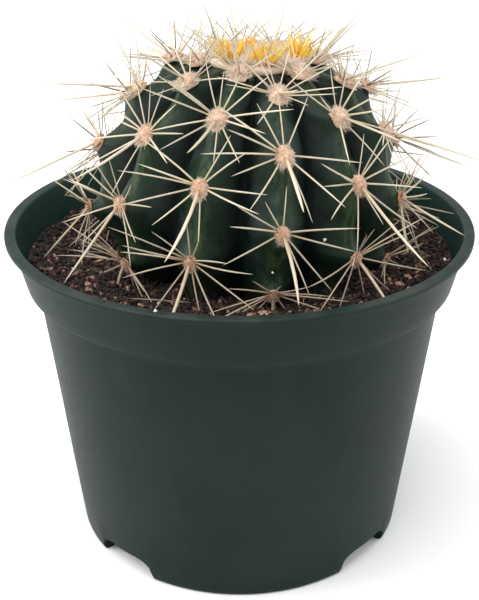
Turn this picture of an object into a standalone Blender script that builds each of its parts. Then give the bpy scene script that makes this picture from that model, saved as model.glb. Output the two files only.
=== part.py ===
"""Potted round cactus: a young ribbed ball cactus in a six-inch nursery pot.

Metres, +Z up. The origin is on the pot's axis, on the surface the pot stands on, and -Y is the
front. The plant has its own slightly leaning axis, which is an empty that the stem, the crown and
every spine cluster hang from. Pieces that touch keep a clearance of GAP.
"""

import math

import bmesh
import bpy
import numpy as np
from mathutils import Matrix, Vector

MM = 0.001
GAP = 0.35 * MM

# Pot: six inches across the lip, tapering to a ring foot with drain slots in the bottom corner.
POT_HEIGHT = 110 * MM
RIM_RADIUS = 76.2 * MM
POT_WALL = 1.3 * MM
LIP_THICKNESS = 1.8 * MM
BAND_HEIGHT = 17 * MM
BAND_TOP_RADIUS = 74.0 * MM
BAND_BOTTOM_RADIUS = 70.5 * MM
WALL_TOP_RADIUS = 67.3 * MM
BASE_RADIUS = 57.1 * MM
FOOT_WIDTH = 3.5 * MM
FOOT_HEIGHT = 3.0 * MM
EDGE_ROUND = 0.5 * MM
POT_SEGMENTS = 64
SLOT_COUNT = 4
SLOT_FIRST_DEG = -42
SLOT_WIDTH = 24 * MM
SLOT_HEIGHT = 7 * MM
SLOT_DEPTH = 9 * MM

# Soil: fills the pot to a little below the lip.
SOIL_TOP = POT_HEIGHT - 12 * MM
SOIL_EDGE_RISE = 1 * MM

# Plant axis: where the ball's middle is, and its lean towards +X.
BALL_MIDDLE = Vector((4.3 * MM, 0.5 * MM, POT_HEIGHT + 8.4 * MM))
BALL_LEAN = math.radians(2.6)

# Stem: a ribbed ellipsoid, measured on the crests of its ribs.
BALL_RADIUS = 49.0 * MM
BALL_RISE = 47.5 * MM
BALL_DROP = 38.0 * MM
CROWN_DISH = 2.0 * MM
CROWN_DISH_RADIUS = 8 * MM
RIBS = 12
RIB_PITCH = math.tau / RIBS
FIRST_RIB = math.radians(9.2)
RIB_TWIST = 0.045
GROOVE_DEPTH = 9.5 * MM
GROOVE_START = 10 * MM
GROOVE_FULL = 34 * MM
STEM_STEPS_PER_RIB = 5
STEM_ROWS = 20

# Areoles: rows of woolly pads up each crest, neighbouring ribs half a step apart.
AREOLES_PER_RIB = 4
AREOLE_STEP = math.radians(14.24)
AREOLE_STEP_LOSS = math.radians(0.915)
AREOLE_MIDDLE = math.radians(-5)
PAD_SIDES = 10
PAD_RADIUS = 2.2 * MM
PAD_GROWTH = 0.25 * MM
PAD_HEIGHT = 1.1 * MM

# Spines: a star of radials from the pad's side and three centrals from its top.
RADIAL_LENGTH = 19 * MM
RADIAL_ELEVATION = math.radians(16)
CENTRAL_LENGTH = {5: 26 * MM, 2: 22 * MM, 8: 22 * MM}
CENTRAL_ELEVATION = {5: math.radians(38), 2: math.radians(56), 8: math.radians(56)}
SPINE_BASE_RADIUS = 0.9 * MM
SPINE_CLEARANCE = 0.5 * MM
LIFT_STEP = math.radians(4)
STEEPEST = math.radians(84)
SHORTER = 0.85
SHORTEST = 4 * MM
SEED = 12

# Crown: a cushion of wool on the dished top, with short upright young spines.
CROWN_SIDES = 24
CROWN_SPINE_BASE_RADIUS = 2.4 * MM
CROWN_BOTTOM = BALL_RISE - 1.0 * MM
CROWN_RINGS = ((14.5 * MM, 0.0), (15.0 * MM, 1.6 * MM), (10.5 * MM, 3.2 * MM), (5.0 * MM, 4.0 * MM))
CROWN_SPINES = ((1, 15 * MM, math.radians(50)), (2, 12 * MM, math.radians(72)))

# Roots: a short taproot with side roots that bend down into the soil.
ROOT_SIDES = 8
ROOT_TOP = BALL_MIDDLE.z - BALL_DROP - GAP
ROOT_RINGS = ((7 * MM, 0.0), (5.5 * MM, 10 * MM), (4 * MM, 22 * MM), (1.5 * MM, 36 * MM))
SIDE_ROOT_STEP = 8 * MM
SIDE_ROOT_STEPS = 4
SIDE_ROOT_TAPER = 0.62
SIDE_ROOT_DROOP = math.radians(14)


def clear_scene():
    """Remove every object that the scene already holds."""
    for old in list(bpy.data.objects):
        bpy.data.objects.remove(old, do_unlink=True)


def make_material(name, colour, roughness):
    """Return a plain, non-metallic Principled material."""
    material = bpy.data.materials.new(name)
    material.use_nodes = True
    shader = material.node_tree.nodes["Principled BSDF"]
    shader.inputs["Base Color"].default_value = (*colour, 1.0)
    shader.inputs["Roughness"].default_value = roughness
    shader.inputs["Metallic"].default_value = 0.0
    return material


def add_object(name, mesh_maker, material, parent=None):
    """Turn a finished bmesh into a named, smooth-shaded object and return it."""
    mesh = bpy.data.meshes.new(name)
    bmesh.ops.recalc_face_normals(mesh_maker, faces=mesh_maker.faces)
    mesh_maker.to_mesh(mesh)
    mesh_maker.free()
    mesh.shade_smooth()
    mesh.set_sharp_from_angle(angle=math.radians(35))
    mesh.materials.append(material)
    piece = bpy.data.objects.new(name, mesh)
    bpy.context.scene.collection.objects.link(piece)
    piece.parent = parent
    return piece


def add_cutter(piece, cutter):
    """Cut one piece with another object, which becomes a hidden wire guide."""
    cutter.hide_render = True
    cutter.display_type = "WIRE"
    cut = piece.modifiers.new(cutter.name, "BOOLEAN")
    cut.operation = "DIFFERENCE"
    cut.solver = "EXACT"
    cut.object = cutter


def lathe(profile, segments):
    """Turn a profile of (radius, height) points about Z and return the closed bmesh."""
    mesh_maker = bmesh.new()
    points = [mesh_maker.verts.new((radius, 0, height)) for radius, height in profile]
    edges = [mesh_maker.edges.new(pair) for pair in zip(points, points[1:])]
    bmesh.ops.spin(
        mesh_maker,
        geom=points + edges,
        cent=(0, 0, 0),
        axis=(0, 0, 1),
        angle=math.tau,
        steps=segments,
        use_duplicate=False,
    )
    bmesh.ops.remove_doubles(mesh_maker, verts=mesh_maker.verts, dist=0.01 * MM)
    return mesh_maker


def stack_rings(rings, bottom, top):
    """Join rings of points into one closed skin, with a fan to a middle point at each end."""
    mesh_maker = bmesh.new()
    loops = [[mesh_maker.verts.new(point) for point in ring] for ring in rings]
    sides = len(loops[0])
    bands = []
    for lower, upper in zip(loops, loops[1:]):
        band = []
        for i in range(sides):
            j = (i + 1) % sides
            band.append(mesh_maker.faces.new((lower[i], lower[j], upper[j], upper[i])))
        bands.append(band)
    low_point = mesh_maker.verts.new(bottom)
    high_point = mesh_maker.verts.new(top)
    cap = []
    for i in range(sides):
        j = (i + 1) % sides
        mesh_maker.faces.new((loops[0][j], loops[0][i], low_point))
        cap.append(mesh_maker.faces.new((loops[-1][i], loops[-1][j], high_point)))
    bands.append(cap)
    return mesh_maker, bands


# ---- pot ----------------------------------------------------------------------------------


def pot_inner_profile():
    """Return the inside of the pot from the lip down to the floor's corner."""
    ledge = POT_HEIGHT - BAND_HEIGHT
    return [
        (BAND_TOP_RADIUS - POT_WALL, POT_HEIGHT - EDGE_ROUND),
        (BAND_BOTTOM_RADIUS - POT_WALL, ledge + POT_WALL + EDGE_ROUND),
        (BAND_BOTTOM_RADIUS - POT_WALL - EDGE_ROUND, ledge + POT_WALL),
        (WALL_TOP_RADIUS - POT_WALL, ledge + POT_WALL - 2 * EDGE_ROUND),
        (BASE_RADIUS - POT_WALL, FOOT_HEIGHT + POT_WALL),
    ]


def pot_profile():
    """Return the pot's whole section: underside, foot, wall, band, lip, inside and floor."""
    ledge = POT_HEIGHT - BAND_HEIGHT
    foot_inside = BASE_RADIUS - FOOT_WIDTH
    under_lip = POT_HEIGHT - LIP_THICKNESS
    outside = [
        (0, FOOT_HEIGHT),
        (foot_inside, FOOT_HEIGHT),
        (foot_inside, EDGE_ROUND),
        (foot_inside + EDGE_ROUND, 0),
        (BASE_RADIUS - EDGE_ROUND, 0),
        (BASE_RADIUS, EDGE_ROUND),
        (WALL_TOP_RADIUS, ledge),
        (BAND_BOTTOM_RADIUS - EDGE_ROUND, ledge),
        (BAND_BOTTOM_RADIUS, ledge + EDGE_ROUND),
        (BAND_TOP_RADIUS, under_lip),
        (RIM_RADIUS - EDGE_ROUND, under_lip),
        (RIM_RADIUS, under_lip + EDGE_ROUND),
        (RIM_RADIUS, POT_HEIGHT - EDGE_ROUND),
        (RIM_RADIUS - EDGE_ROUND, POT_HEIGHT),
        (BAND_TOP_RADIUS - POT_WALL + EDGE_ROUND, POT_HEIGHT),
    ]
    return outside + pot_inner_profile() + [(0, FOOT_HEIGHT + POT_WALL)]


def slot_angles():
    """Return the drain slots' azimuths, counted from the front towards +X."""
    turn = math.tau / SLOT_COUNT
    return [math.radians(SLOT_FIRST_DEG) + i * turn for i in range(SLOT_COUNT)]


def make_slot_cutter(material):
    """Make one guide object that holds a block for every drain slot."""
    mesh_maker = bmesh.new()
    half_round = SLOT_DEPTH / 2
    for azimuth in slot_angles():
        size = Matrix.Diagonal((SLOT_WIDTH, SLOT_DEPTH, 2 * SLOT_HEIGHT, 1))
        out = Matrix.Translation((0, -(BASE_RADIUS - SLOT_DEPTH / 2 + half_round / 2), 0))
        turn = Matrix.Rotation(azimuth, 4, "Z")
        bmesh.ops.create_cube(mesh_maker, size=1, matrix=turn @ out @ size)
    return add_object("slot_cutter", mesh_maker, material)


def make_pot(material):
    """Turn the pot and cut its drain slots."""
    pot = add_object("pot", lathe(pot_profile(), POT_SEGMENTS), material)
    add_cutter(pot, make_slot_cutter(material))
    return pot


# ---- stem ---------------------------------------------------------------------------------


def crest_point(climb):
    """Return a crest's radius and height above the ball's middle.

    climb is the parametric angle, 0 at the widest place and a quarter turn at the top.
    """
    reach = BALL_RISE if climb >= 0 else BALL_DROP
    radius = BALL_RADIUS * math.cos(climb)
    dish = 0.0
    if climb > 0:
        dish = CROWN_DISH * math.exp(-((radius / CROWN_DISH_RADIUS) ** 2))
    return radius, reach * math.sin(climb) - dish


def groove_depth(radius):
    """Return how deep the grooves are where the crests have this radius."""
    share = (radius - GROOVE_START) / (GROOVE_FULL - GROOVE_START)
    share = min(max(share, 0.0), 1.0)
    return GROOVE_DEPTH * share * share * (3 - 2 * share)


def rib_azimuth(rib, climb):
    """Return a crest's azimuth from the front; ribs twist slightly as they climb."""
    return FIRST_RIB + rib * RIB_PITCH + RIB_TWIST * climb


def around(azimuth, radius, height):
    """Return the point at an azimuth from the front, towards +X, at a radius and a height."""
    return Vector((radius * math.sin(azimuth), -radius * math.cos(azimuth), height))


def stem_ring(climb):
    """Return one ring of the ribbed stem: round crests and V-shaped grooves."""
    radius, height = crest_point(climb)
    steps = RIBS * STEM_STEPS_PER_RIB
    ring = []
    for i in range(steps):
        turn = i * math.tau / steps
        groove = 1 - abs(math.cos(turn * RIBS / 2))
        here = radius - groove_depth(radius) * groove
        ring.append(around(rib_azimuth(0, climb) + turn, here, height))
    return ring


def stem_shape():
    """Return the stem's closed skin about the ball's middle."""
    quarter = math.pi / 2
    climbs = [-quarter + math.pi * (row + 0.5) / STEM_ROWS for row in range(STEM_ROWS)]
    rings = [stem_ring(climb) for climb in climbs]
    low = Vector((0, 0, crest_point(-quarter)[1]))
    high = Vector((0, 0, crest_point(quarter)[1]))
    mesh_maker, _ = stack_rings(rings, low, high)
    return mesh_maker


def grow(mesh_maker, distance):
    """Push every point of a closed skin outwards along its normal."""
    bmesh.ops.recalc_face_normals(mesh_maker, faces=mesh_maker.faces)
    mesh_maker.normal_update()
    shifts = [(point, point.normal * distance) for point in mesh_maker.verts]
    for point, shift in shifts:
        point.co += shift
    return mesh_maker


# ---- spines -------------------------------------------------------------------------------


def gaps_between(start, tip, starts, tips, widths):
    """Return a new spine's closest distance to each other one, less both tapering radii."""
    along = tip - start
    others = tips - starts
    offset = start - starts
    a = along @ along
    e = np.einsum("ij,ij->i", others, others)
    b = others @ along
    c = offset @ along
    f = np.einsum("ij,ij->i", others, offset)
    spread = np.maximum(a * e - b * b, 1e-18)
    s = np.clip((b * f - c * e) / spread, 0, 1)
    t = np.clip((b * s + f) / e, 0, 1)
    s = np.clip((b * t - c) / a, 0, 1)
    nearest = start + s[:, None] * along - (starts + t[:, None] * others)
    return np.linalg.norm(nearest, axis=1) - SPINE_BASE_RADIUS * (1 - s) - widths * (1 - t)


class SpineField:
    """Every spine placed so far, so that a new one can be laid clear of them all."""

    def __init__(self, pads, axis_frame):
        self.pads = pads
        self.to_plant = np.array(axis_frame.inverted())
        self.starts = np.empty((0, 3))
        self.tips = np.empty((0, 3))
        self.widths = np.empty(0)
        self.owners = np.empty(0, dtype=int)

    def add(self, start, tip, width, owner):
        """Note a placed spine; width is its radius where it leaves the pad."""
        self.starts = np.vstack([self.starts, start])
        self.tips = np.vstack([self.tips, tip])
        self.widths = np.append(self.widths, width)
        self.owners = np.append(self.owners, owner)

    def clears_spines(self, start, tip, owner):
        """Tell whether a spine passes every other; its own cluster's only from a quarter out."""
        foreign = self.owners != owner
        if foreign.any():
            gaps = gaps_between(
                start, tip, self.starts[foreign], self.tips[foreign], self.widths[foreign]
            )
            if gaps.min() < SPINE_CLEARANCE:
                return False
        if foreign.all():
            return True
        own_starts = self.starts[~foreign]
        own_tips = self.tips[~foreign]
        own_starts = own_starts + 0.25 * (own_tips - own_starts)
        own_widths = self.widths[~foreign]
        gaps = gaps_between(start + 0.25 * (tip - start), tip, own_starts, own_tips, own_widths)
        return gaps.min() >= -SPINE_CLEARANCE

    def clears_pads(self, start, tip, owner):
        """Tell whether a spine keeps away from the other clusters' pads."""
        others = np.delete(self.pads, owner, axis=0)
        along = tip - start
        share = np.clip((others - start) @ along / (along @ along), 0, 1)
        nearest = start + share[:, None] * along
        distance = np.linalg.norm(nearest - others, axis=1)
        return distance.min() > PAD_RADIUS + AREOLES_PER_RIB * PAD_GROWTH + 1 * MM

    def clears_crown(self, start, tip):
        """Tell whether a spine keeps off the crown's cushion."""
        points = start + np.linspace(0, 1, 12)[:, None] * (tip - start)
        points = points @ self.to_plant[:3, :3].T + self.to_plant[:3, 3]
        near = np.hypot(points[:, 0], points[:, 1]) < CROWN_RINGS[1][0] + 1 * MM
        low = points[:, 2] < CROWN_BOTTOM + CROWN_RINGS[-1][1] + 1 * MM
        return not (near & low).any()

    def clears_pot(self, start, tip):
        """Tell whether a spine stays inside the lip's circle and off the wall and the soil."""
        points = start + np.linspace(0, 1, 12)[:, None] * (tip - start)
        radii = np.hypot(points[:, 0], points[:, 1])
        heights = points[:, 2]
        inside = BAND_BOTTOM_RADIUS - POT_WALL + SPINE_CLEARANCE
        over_lip = (radii > inside) & (heights < POT_HEIGHT + 2 * SPINE_CLEARANCE)
        in_soil = heights < SOIL_TOP + SOIL_EDGE_RISE + SPINE_CLEARANCE
        outside = radii > RIM_RADIUS - SPINE_CLEARANCE
        return not (over_lip.any() or in_soil.any() or outside.any())

    def lay(self, start, level, outward, length, elevation, owner):
        """Find a clear tip: lift the spine step by step, then make it shorter and try again."""
        first = np.array(start)
        while length > SHORTEST:
            lift = elevation
            while lift <= STEEPEST:
                tip = start + length * (math.cos(lift) * level + math.sin(lift) * outward)
                end = np.array(tip)
                clear = self.clears_pot(first, end) and self.clears_crown(first, end)
                clear = clear and self.clears_pads(first, end, owner)
                if clear and self.clears_spines(first, end, owner):
                    self.add(first, end, SPINE_BASE_RADIUS, owner)
                    return tip
                lift += LIFT_STEP
            length *= SHORTER
        return None


def areole_climb(row):
    """Return the climb of a half-step row; the steps get smaller towards the crown."""
    loss = AREOLE_STEP_LOSS * row * row / 2 if row > 0 else 0.0
    return AREOLE_MIDDLE + AREOLE_STEP * row - loss


def areole_places():
    """Return (name, size number, frame) of every areole; the frame's Z leaves the crest."""
    places = []
    for rib in range(RIBS):
        first_row = -1 if rib % 2 == 0 else 0
        for number in range(AREOLES_PER_RIB):
            climb = areole_climb(first_row + 2 * number)
            azimuth = rib_azimuth(rib, climb)
            radius, height = crest_point(climb)
            above = crest_point(climb + 0.01)
            rise = Vector((above[0] - radius, above[1] - height)).normalized()
            up = around(azimuth, rise.x, rise.y)
            side = Vector((math.cos(azimuth), math.sin(azimuth), 0))
            out = side.cross(up)
            frame = Matrix((side, up, out)).transposed().to_4x4()
            frame.translation = around(azimuth, radius, height) + GAP * out
            places.append((f"areole_rib{rib + 1:02d}_{number + 1}", number, frame))
    return places


def pad_shape(number, frame):
    """Return a low many-sided pad; side i faces the angle i * 36 degrees, from up towards +X."""
    radius = PAD_RADIUS + number * PAD_GROWTH
    turns = [(i - 0.5) * math.tau / PAD_SIDES for i in range(PAD_SIDES)]
    rings = []
    for share, height in ((0.92, 0.0), (1.0, PAD_HEIGHT)):
        ring = [
            frame @ Vector((share * radius * math.sin(a), share * radius * math.cos(a), height))
            for a in turns
        ]
        rings.append(ring)
    return stack_rings(rings, frame @ Vector((0, 0, 0)), frame @ Vector((0, 0, 1.4 * PAD_HEIGHT)))


def draw_out(mesh_maker, face, tip):
    """Poke a face and pull its new middle point out to a spine's tip."""
    poked = bmesh.ops.poke(mesh_maker, faces=[face])
    poked["verts"][0].co = tip


def make_areoles(material, axis, places, field):
    """Make every spine cluster: all the centrals first, then the radials that pass them."""
    to_world = axis.matrix_basis
    pads = [pad_shape(number, frame) for _, number, frame in places]
    rng = np.random.default_rng(SEED)
    jobs = [(owner, side, 1) for side in CENTRAL_LENGTH for owner in range(len(places))]
    jobs += [(owner, side, 0) for owner in range(len(places)) for side in range(PAD_SIDES)]
    for owner, side, band in jobs:
        mesh_maker, bands = pads[owner]
        frame = to_world @ places[owner][2]
        face = bands[band][side]
        length = (CENTRAL_LENGTH[side] if band else RADIAL_LENGTH) * rng.uniform(0.86, 1.08)
        elevation = CENTRAL_ELEVATION[side] if band else RADIAL_ELEVATION
        turn = side * math.tau / PAD_SIDES + rng.uniform(-0.12, 0.12)
        level = frame.to_3x3() @ Vector((math.sin(turn), math.cos(turn), 0))
        outward = frame.to_3x3() @ Vector((0, 0, 1))
        start = to_world @ face.calc_center_median()
        tip = field.lay(start, level, outward, length, elevation, owner)
        if tip is not None:
            draw_out(mesh_maker, face, to_world.inverted() @ tip)
    for (name, _, _), (mesh_maker, _) in zip(places, pads):
        add_object(name, mesh_maker, material, axis)


def make_crown(material, axis, field):
    """Make the crown's cushion of wool with two circles of upright young spines."""
    to_world = axis.matrix_basis
    turns = [i * math.tau / CROWN_SIDES for i in range(CROWN_SIDES)]
    rings = [
        [around(turn, radius, CROWN_BOTTOM + height) for turn in turns]
        for radius, height in CROWN_RINGS
    ]
    low = Vector((0, 0, CROWN_BOTTOM))
    high = Vector((0, 0, CROWN_BOTTOM + CROWN_RINGS[-1][1]))
    mesh_maker, bands = stack_rings(rings, low, high)
    for band, length, elevation in CROWN_SPINES:
        for face in bands[band][band::2]:
            middle = face.calc_center_median()
            level = Vector((middle.x, middle.y, 0)).normalized()
            up = Vector((0, 0, 1))
            tip = middle + length * (math.cos(elevation) * level + math.sin(elevation) * up)
            field.add(
                to_world @ middle, to_world @ tip, CROWN_SPINE_BASE_RADIUS, len(field.pads)
            )
            draw_out(mesh_maker, face, tip)
    add_object("crown", mesh_maker, material, axis)


# ---- roots and soil -----------------------------------------------------------------------


def root_shape():
    """Return the taproot with side roots pulled out of every second side face."""
    rings = []
    for radius, depth in reversed(ROOT_RINGS):
        rings.append([
            around(i * math.tau / ROOT_SIDES, radius, -depth) for i in range(ROOT_SIDES)
        ])
    mesh_maker, bands = stack_rings(
        rings, Vector((0, 0, -ROOT_RINGS[-1][1] - 3 * MM)), Vector((0, 0, 0))
    )
    for level, band in enumerate(bands[:-1]):
        for side in range(level % 2, ROOT_SIDES, 2):
            pull_side_root(mesh_maker, band[side])
    return mesh_maker


def pull_side_root(mesh_maker, face):
    """Extrude a face outwards in steps, each one smaller and bent further down."""
    way = face.calc_center_median()
    way.z = 0
    way.normalize()
    for step in range(SIDE_ROOT_STEPS):
        droop = SIDE_ROOT_DROOP * (step + 1)
        made = bmesh.ops.extrude_discrete_faces(mesh_maker, faces=[face])
        face = made["faces"][0]
        shift = SIDE_ROOT_STEP * (math.cos(droop) * way - math.sin(droop) * Vector((0, 0, 1)))
        middle = face.calc_center_median()
        for point in face.verts:
            point.co = middle + SIDE_ROOT_TAPER * (point.co - middle) + shift


def make_roots(material):
    """Make the roots under the middle of the ball."""
    roots = add_object("roots", root_shape(), material)
    roots.location = (BALL_MIDDLE.x, BALL_MIDDLE.y, ROOT_TOP)
    return roots


def make_soil(material, axis, roots):
    """Turn the soil that fills the pot and leave room in it for the stem and the roots."""
    inner = pot_inner_profile()
    top_radius, top_height = inner[0]
    slope = (top_radius - inner[1][0]) / (top_height - inner[1][1])
    edge_height = SOIL_TOP + SOIL_EDGE_RISE
    edge_radius = top_radius - slope * (top_height - edge_height) - GAP
    wall = [(radius - GAP, height + GAP) for radius, height in inner[1:]]
    profile = [(0, inner[-1][1] + GAP)]
    profile += list(reversed(wall))
    profile += [(edge_radius, edge_height), (edge_radius - 8 * MM, SOIL_TOP), (0, SOIL_TOP)]
    soil = add_object("potting_soil", lathe(profile, POT_SEGMENTS), material)
    stem_room = add_object("stem_room", grow(stem_shape(), GAP), material, axis)
    root_room = add_object("root_room", grow(root_shape(), 1.5 * GAP), material)
    root_room.location = roots.location
    add_cutter(soil, stem_room)
    add_cutter(soil, root_room)
    return soil


def main():
    """Build the whole potted cactus."""
    clear_scene()
    pot_plastic = make_material("pot_plastic", (0.050, 0.085, 0.075), 0.5)
    soil_mix = make_material("soil_mix", (0.050, 0.028, 0.024), 0.95)
    stem_skin = make_material("stem_skin", (0.016, 0.045, 0.026), 0.4)
    spine_straw = make_material("spine_straw", (0.75, 0.64, 0.44), 0.5)
    crown_gold = make_material("crown_gold", (0.85, 0.55, 0.12), 0.7)
    root_fibre = make_material("root_fibre", (0.40, 0.28, 0.17), 0.9)

    axis = bpy.data.objects.new("plant_axis", None)
    bpy.context.scene.collection.objects.link(axis)
    axis.matrix_basis = Matrix.Translation(BALL_MIDDLE) @ Matrix.Rotation(BALL_LEAN, 4, "Y")

    make_pot(pot_plastic)
    add_object("cactus_stem", stem_shape(), stem_skin, axis)

    places = areole_places()
    pad_middles = np.array([axis.matrix_basis @ frame.translation for _, _, frame in places])
    field = SpineField(pad_middles, axis.matrix_basis)
    make_crown(crown_gold, axis, field)
    make_areoles(spine_straw, axis, places, field)

    roots = make_roots(root_fibre)
    make_soil(soil_mix, axis, roots)


main()
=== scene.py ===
"""Looks of a potted round cactus: a dark green ribbed ball with straw-coloured spines in a pot.

Metres, +Z up, the pot's axis through the origin and its foot on z = 0; -Y is the front. Every
piece is worked out with numpy as a surface of two parameters and keeps to the CAD model's box
within a millimetre.
"""

import itertools
import logging
import math
from dataclasses import dataclass, field
from enum import Enum

import bmesh
import bpy
import numpy as np
from mathutils import Euler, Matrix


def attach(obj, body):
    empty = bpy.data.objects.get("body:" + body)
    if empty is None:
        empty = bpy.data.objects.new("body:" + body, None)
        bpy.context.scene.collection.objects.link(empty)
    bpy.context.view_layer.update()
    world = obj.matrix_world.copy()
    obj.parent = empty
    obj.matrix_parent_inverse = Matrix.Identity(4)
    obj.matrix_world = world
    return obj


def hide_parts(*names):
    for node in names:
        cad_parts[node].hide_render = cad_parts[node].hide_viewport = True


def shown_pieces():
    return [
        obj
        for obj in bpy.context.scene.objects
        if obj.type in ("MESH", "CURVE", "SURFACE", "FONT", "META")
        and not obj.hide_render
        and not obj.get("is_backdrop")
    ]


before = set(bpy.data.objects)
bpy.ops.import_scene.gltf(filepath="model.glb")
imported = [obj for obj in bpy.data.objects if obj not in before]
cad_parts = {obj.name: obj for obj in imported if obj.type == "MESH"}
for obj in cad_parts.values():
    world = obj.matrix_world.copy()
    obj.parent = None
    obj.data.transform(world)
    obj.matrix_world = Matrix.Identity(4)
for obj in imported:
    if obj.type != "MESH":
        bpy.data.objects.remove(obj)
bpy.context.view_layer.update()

log = logging.getLogger("potted_round_cactus")

MM = 0.001
GAP = 0.35 * MM  # clearance of the areoles and the soil from the stem's skin
LATTICE = 32  # cells along each side of the block of random heights
CELL_MARGIN = 0.04  # empty share at each side of a skin's cell in the bake map
NEEDLE_LOSS = 0.16  # share of its width that a needle loses along its length
BODY = "root"
BAKE_MAP = "OFBake"
Colour = tuple[float, float, float]
Layers = tuple[tuple[float, float, int], ...]


# ---- shapes as arrays ----


def smoothstep(value: np.ndarray, low: float, high: float) -> np.ndarray:
    """Rise smoothly from 0 at low to 1 at high: 3t^2 - 2t^3 of the clipped share t.

    Args:
        value: Numbers to grade.
        low: Where the rise begins.
        high: Where it ends.

    Returns:
        Shares between 0 and 1, shaped like value.
    """
    share = np.clip((value - low) / (high - low), 0.0, 1.0)
    return share * share * (3 - 2 * share)


def clouds(points: np.ndarray, size: float, seed: int) -> np.ndarray:
    """Soft random swells: random heights on a lattice, blended smoothly inside each cell.

    Args:
        points: Places, with x, y and z last.
        size: Width of one cell, in metres.
        seed: Picks the random heights.

    Returns:
        One height between -1 and 1 for each place.
    """
    lattice = np.random.default_rng(seed).uniform(-1, 1, (LATTICE, LATTICE, LATTICE))
    spot = points / size
    cell = np.floor(spot).astype(int)
    share = smoothstep(spot - cell, 0, 1)
    total = np.zeros(points.shape[:-1])
    for corner in itertools.product((0, 1), repeat=3):
        weight = np.prod(np.where(np.array(corner) == 1, share, 1 - share), axis=-1)
        index = (cell + np.array(corner)) % LATTICE
        total += weight * lattice[index[..., 0], index[..., 1], index[..., 2]]
    return total


def layered(points: np.ndarray, layers: Layers) -> np.ndarray:
    """Add up clouds of several sizes.

    Args:
        points: Places, with x, y and z last.
        layers: Width of a cell, height of the swells and seed of each layer.

    Returns:
        One height for each place.
    """
    return sum(clouds(points, size, seed) * height for size, height, seed in layers)


def unit(vectors: np.ndarray) -> np.ndarray:
    """Scale vectors to length one."""
    return vectors / np.maximum(np.linalg.norm(vectors, axis=-1, keepdims=True), 1e-12)


def around(azimuth: np.ndarray, radius: np.ndarray, height: np.ndarray) -> np.ndarray:
    """Place points on circles: azimuth counts from the front (-Y) towards +X.

    Args:
        azimuth: Angles in radians.
        radius: Distances from the axis.
        height: Heights.

    Returns:
        Points (r sin a, -r cos a, z), with x, y and z last.
    """
    azimuth, radius, height = np.broadcast_arrays(azimuth, radius, height)
    return np.stack([radius * np.sin(azimuth), -radius * np.cos(azimuth), height], axis=-1)


@dataclass
class Skins:
    """Closed skins of one kind: a tube of rings each, shut by a fan at both ends.

    Attributes:
        rings: Points as skin, ring, side, xyz.
        low: The point that shuts each skin before its first ring.
        high: The point that shuts each skin after its last ring.
        values: Named values, one per skin, or one per skin, ring and side.
        cells: How many cells lie across the bake map; each skin has a cell of its own.
    """

    rings: np.ndarray
    low: np.ndarray
    high: np.ndarray
    values: dict[str, np.ndarray] = field(default_factory=dict)
    cells: int = 0

    @property
    def count(self) -> int:
        """Number of skins."""
        return self.rings.shape[0]

    def points(self) -> np.ndarray:
        """Every point in order: the rings of a skin, then its two end points."""
        body = self.rings.reshape(self.count, -1, 3)
        ends = np.stack([self.low, self.high], axis=1)
        return np.concatenate([body, ends], axis=1).reshape(-1, 3)

    def spread_value(self, name: str) -> np.ndarray:
        """Give a named value to every point.

        Args:
            name: Which value.

        Returns:
            One number per point; an end point takes the mean of its nearest ring.
        """
        value = np.asarray(self.values[name], dtype=float)
        if value.ndim == 1:
            value = np.broadcast_to(value[:, None, None], self.rings.shape[:3])
        ends = np.stack([value[:, 0].mean(axis=1), value[:, -1].mean(axis=1)], axis=1)
        return np.concatenate([value.reshape(self.count, -1), ends], axis=1).ravel()

    def faces(self) -> tuple[np.ndarray, np.ndarray, np.ndarray, np.ndarray]:
        """Join neighbouring points into faces and lay each skin in its cell of the bake map.

        Returns:
            Quads, their map places, triangles and their map places.
        """
        count, rings, sides = self.rings.shape[:3]
        ring, side = np.meshgrid(np.arange(rings - 1), np.arange(sides), indexing="ij")
        ring, side = ring.ravel(), side.ravel()
        after = (side + 1) % sides
        quads = np.stack(
            [ring * sides + side, ring * sides + after,
             (ring + 1) * sides + after, (ring + 1) * sides + side], axis=1)
        up = np.stack([ring, ring, ring + 1, ring + 1], axis=1) + 1
        across = np.stack([side, side + 1, side + 1, side], axis=1)
        quad_map = np.stack([across / sides, up / (rings + 1)], axis=-1)
        turn = np.arange(sides)
        last = (rings - 1) * sides
        low_fan = np.stack([np.full(sides, rings * sides), (turn + 1) % sides, turn], axis=1)
        high_fan = np.stack(
            [np.full(sides, rings * sides + 1), last + turn, last + (turn + 1) % sides], axis=1)
        low_map = np.stack([np.stack([turn + 0.5, turn + 1, turn], axis=1) / sides,
                            np.tile([0, 1, 1], (sides, 1)) / (rings + 1)], axis=-1)
        high_map = np.stack([np.stack([turn + 0.5, turn, turn + 1], axis=1) / sides,
                             np.tile([rings + 1, rings, rings], (sides, 1)) / (rings + 1)],
                            axis=-1)
        triangles = np.concatenate([low_fan, high_fan])
        triangle_map = np.concatenate([low_map, high_map])
        step = np.arange(count) * (rings * sides + 2)
        cells = self.cells or math.ceil(math.sqrt(count))
        rows = math.ceil(count / cells)
        corner = np.stack([np.arange(count) % cells, np.arange(count) // cells], axis=1)
        room = np.array([cells, rows])

        def lay(places: np.ndarray) -> np.ndarray:
            """Shrink map places into every skin's cell."""
            inner = CELL_MARGIN + (1 - 2 * CELL_MARGIN) * places
            return ((corner[:, None, None, :] + inner[None]) / room).reshape(
                -1, places.shape[1], 2)

        return (
            (quads[None] + step[:, None, None]).reshape(-1, 4),
            lay(quad_map),
            (triangles[None] + step[:, None, None]).reshape(-1, 3),
            lay(triangle_map),
        )


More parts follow.
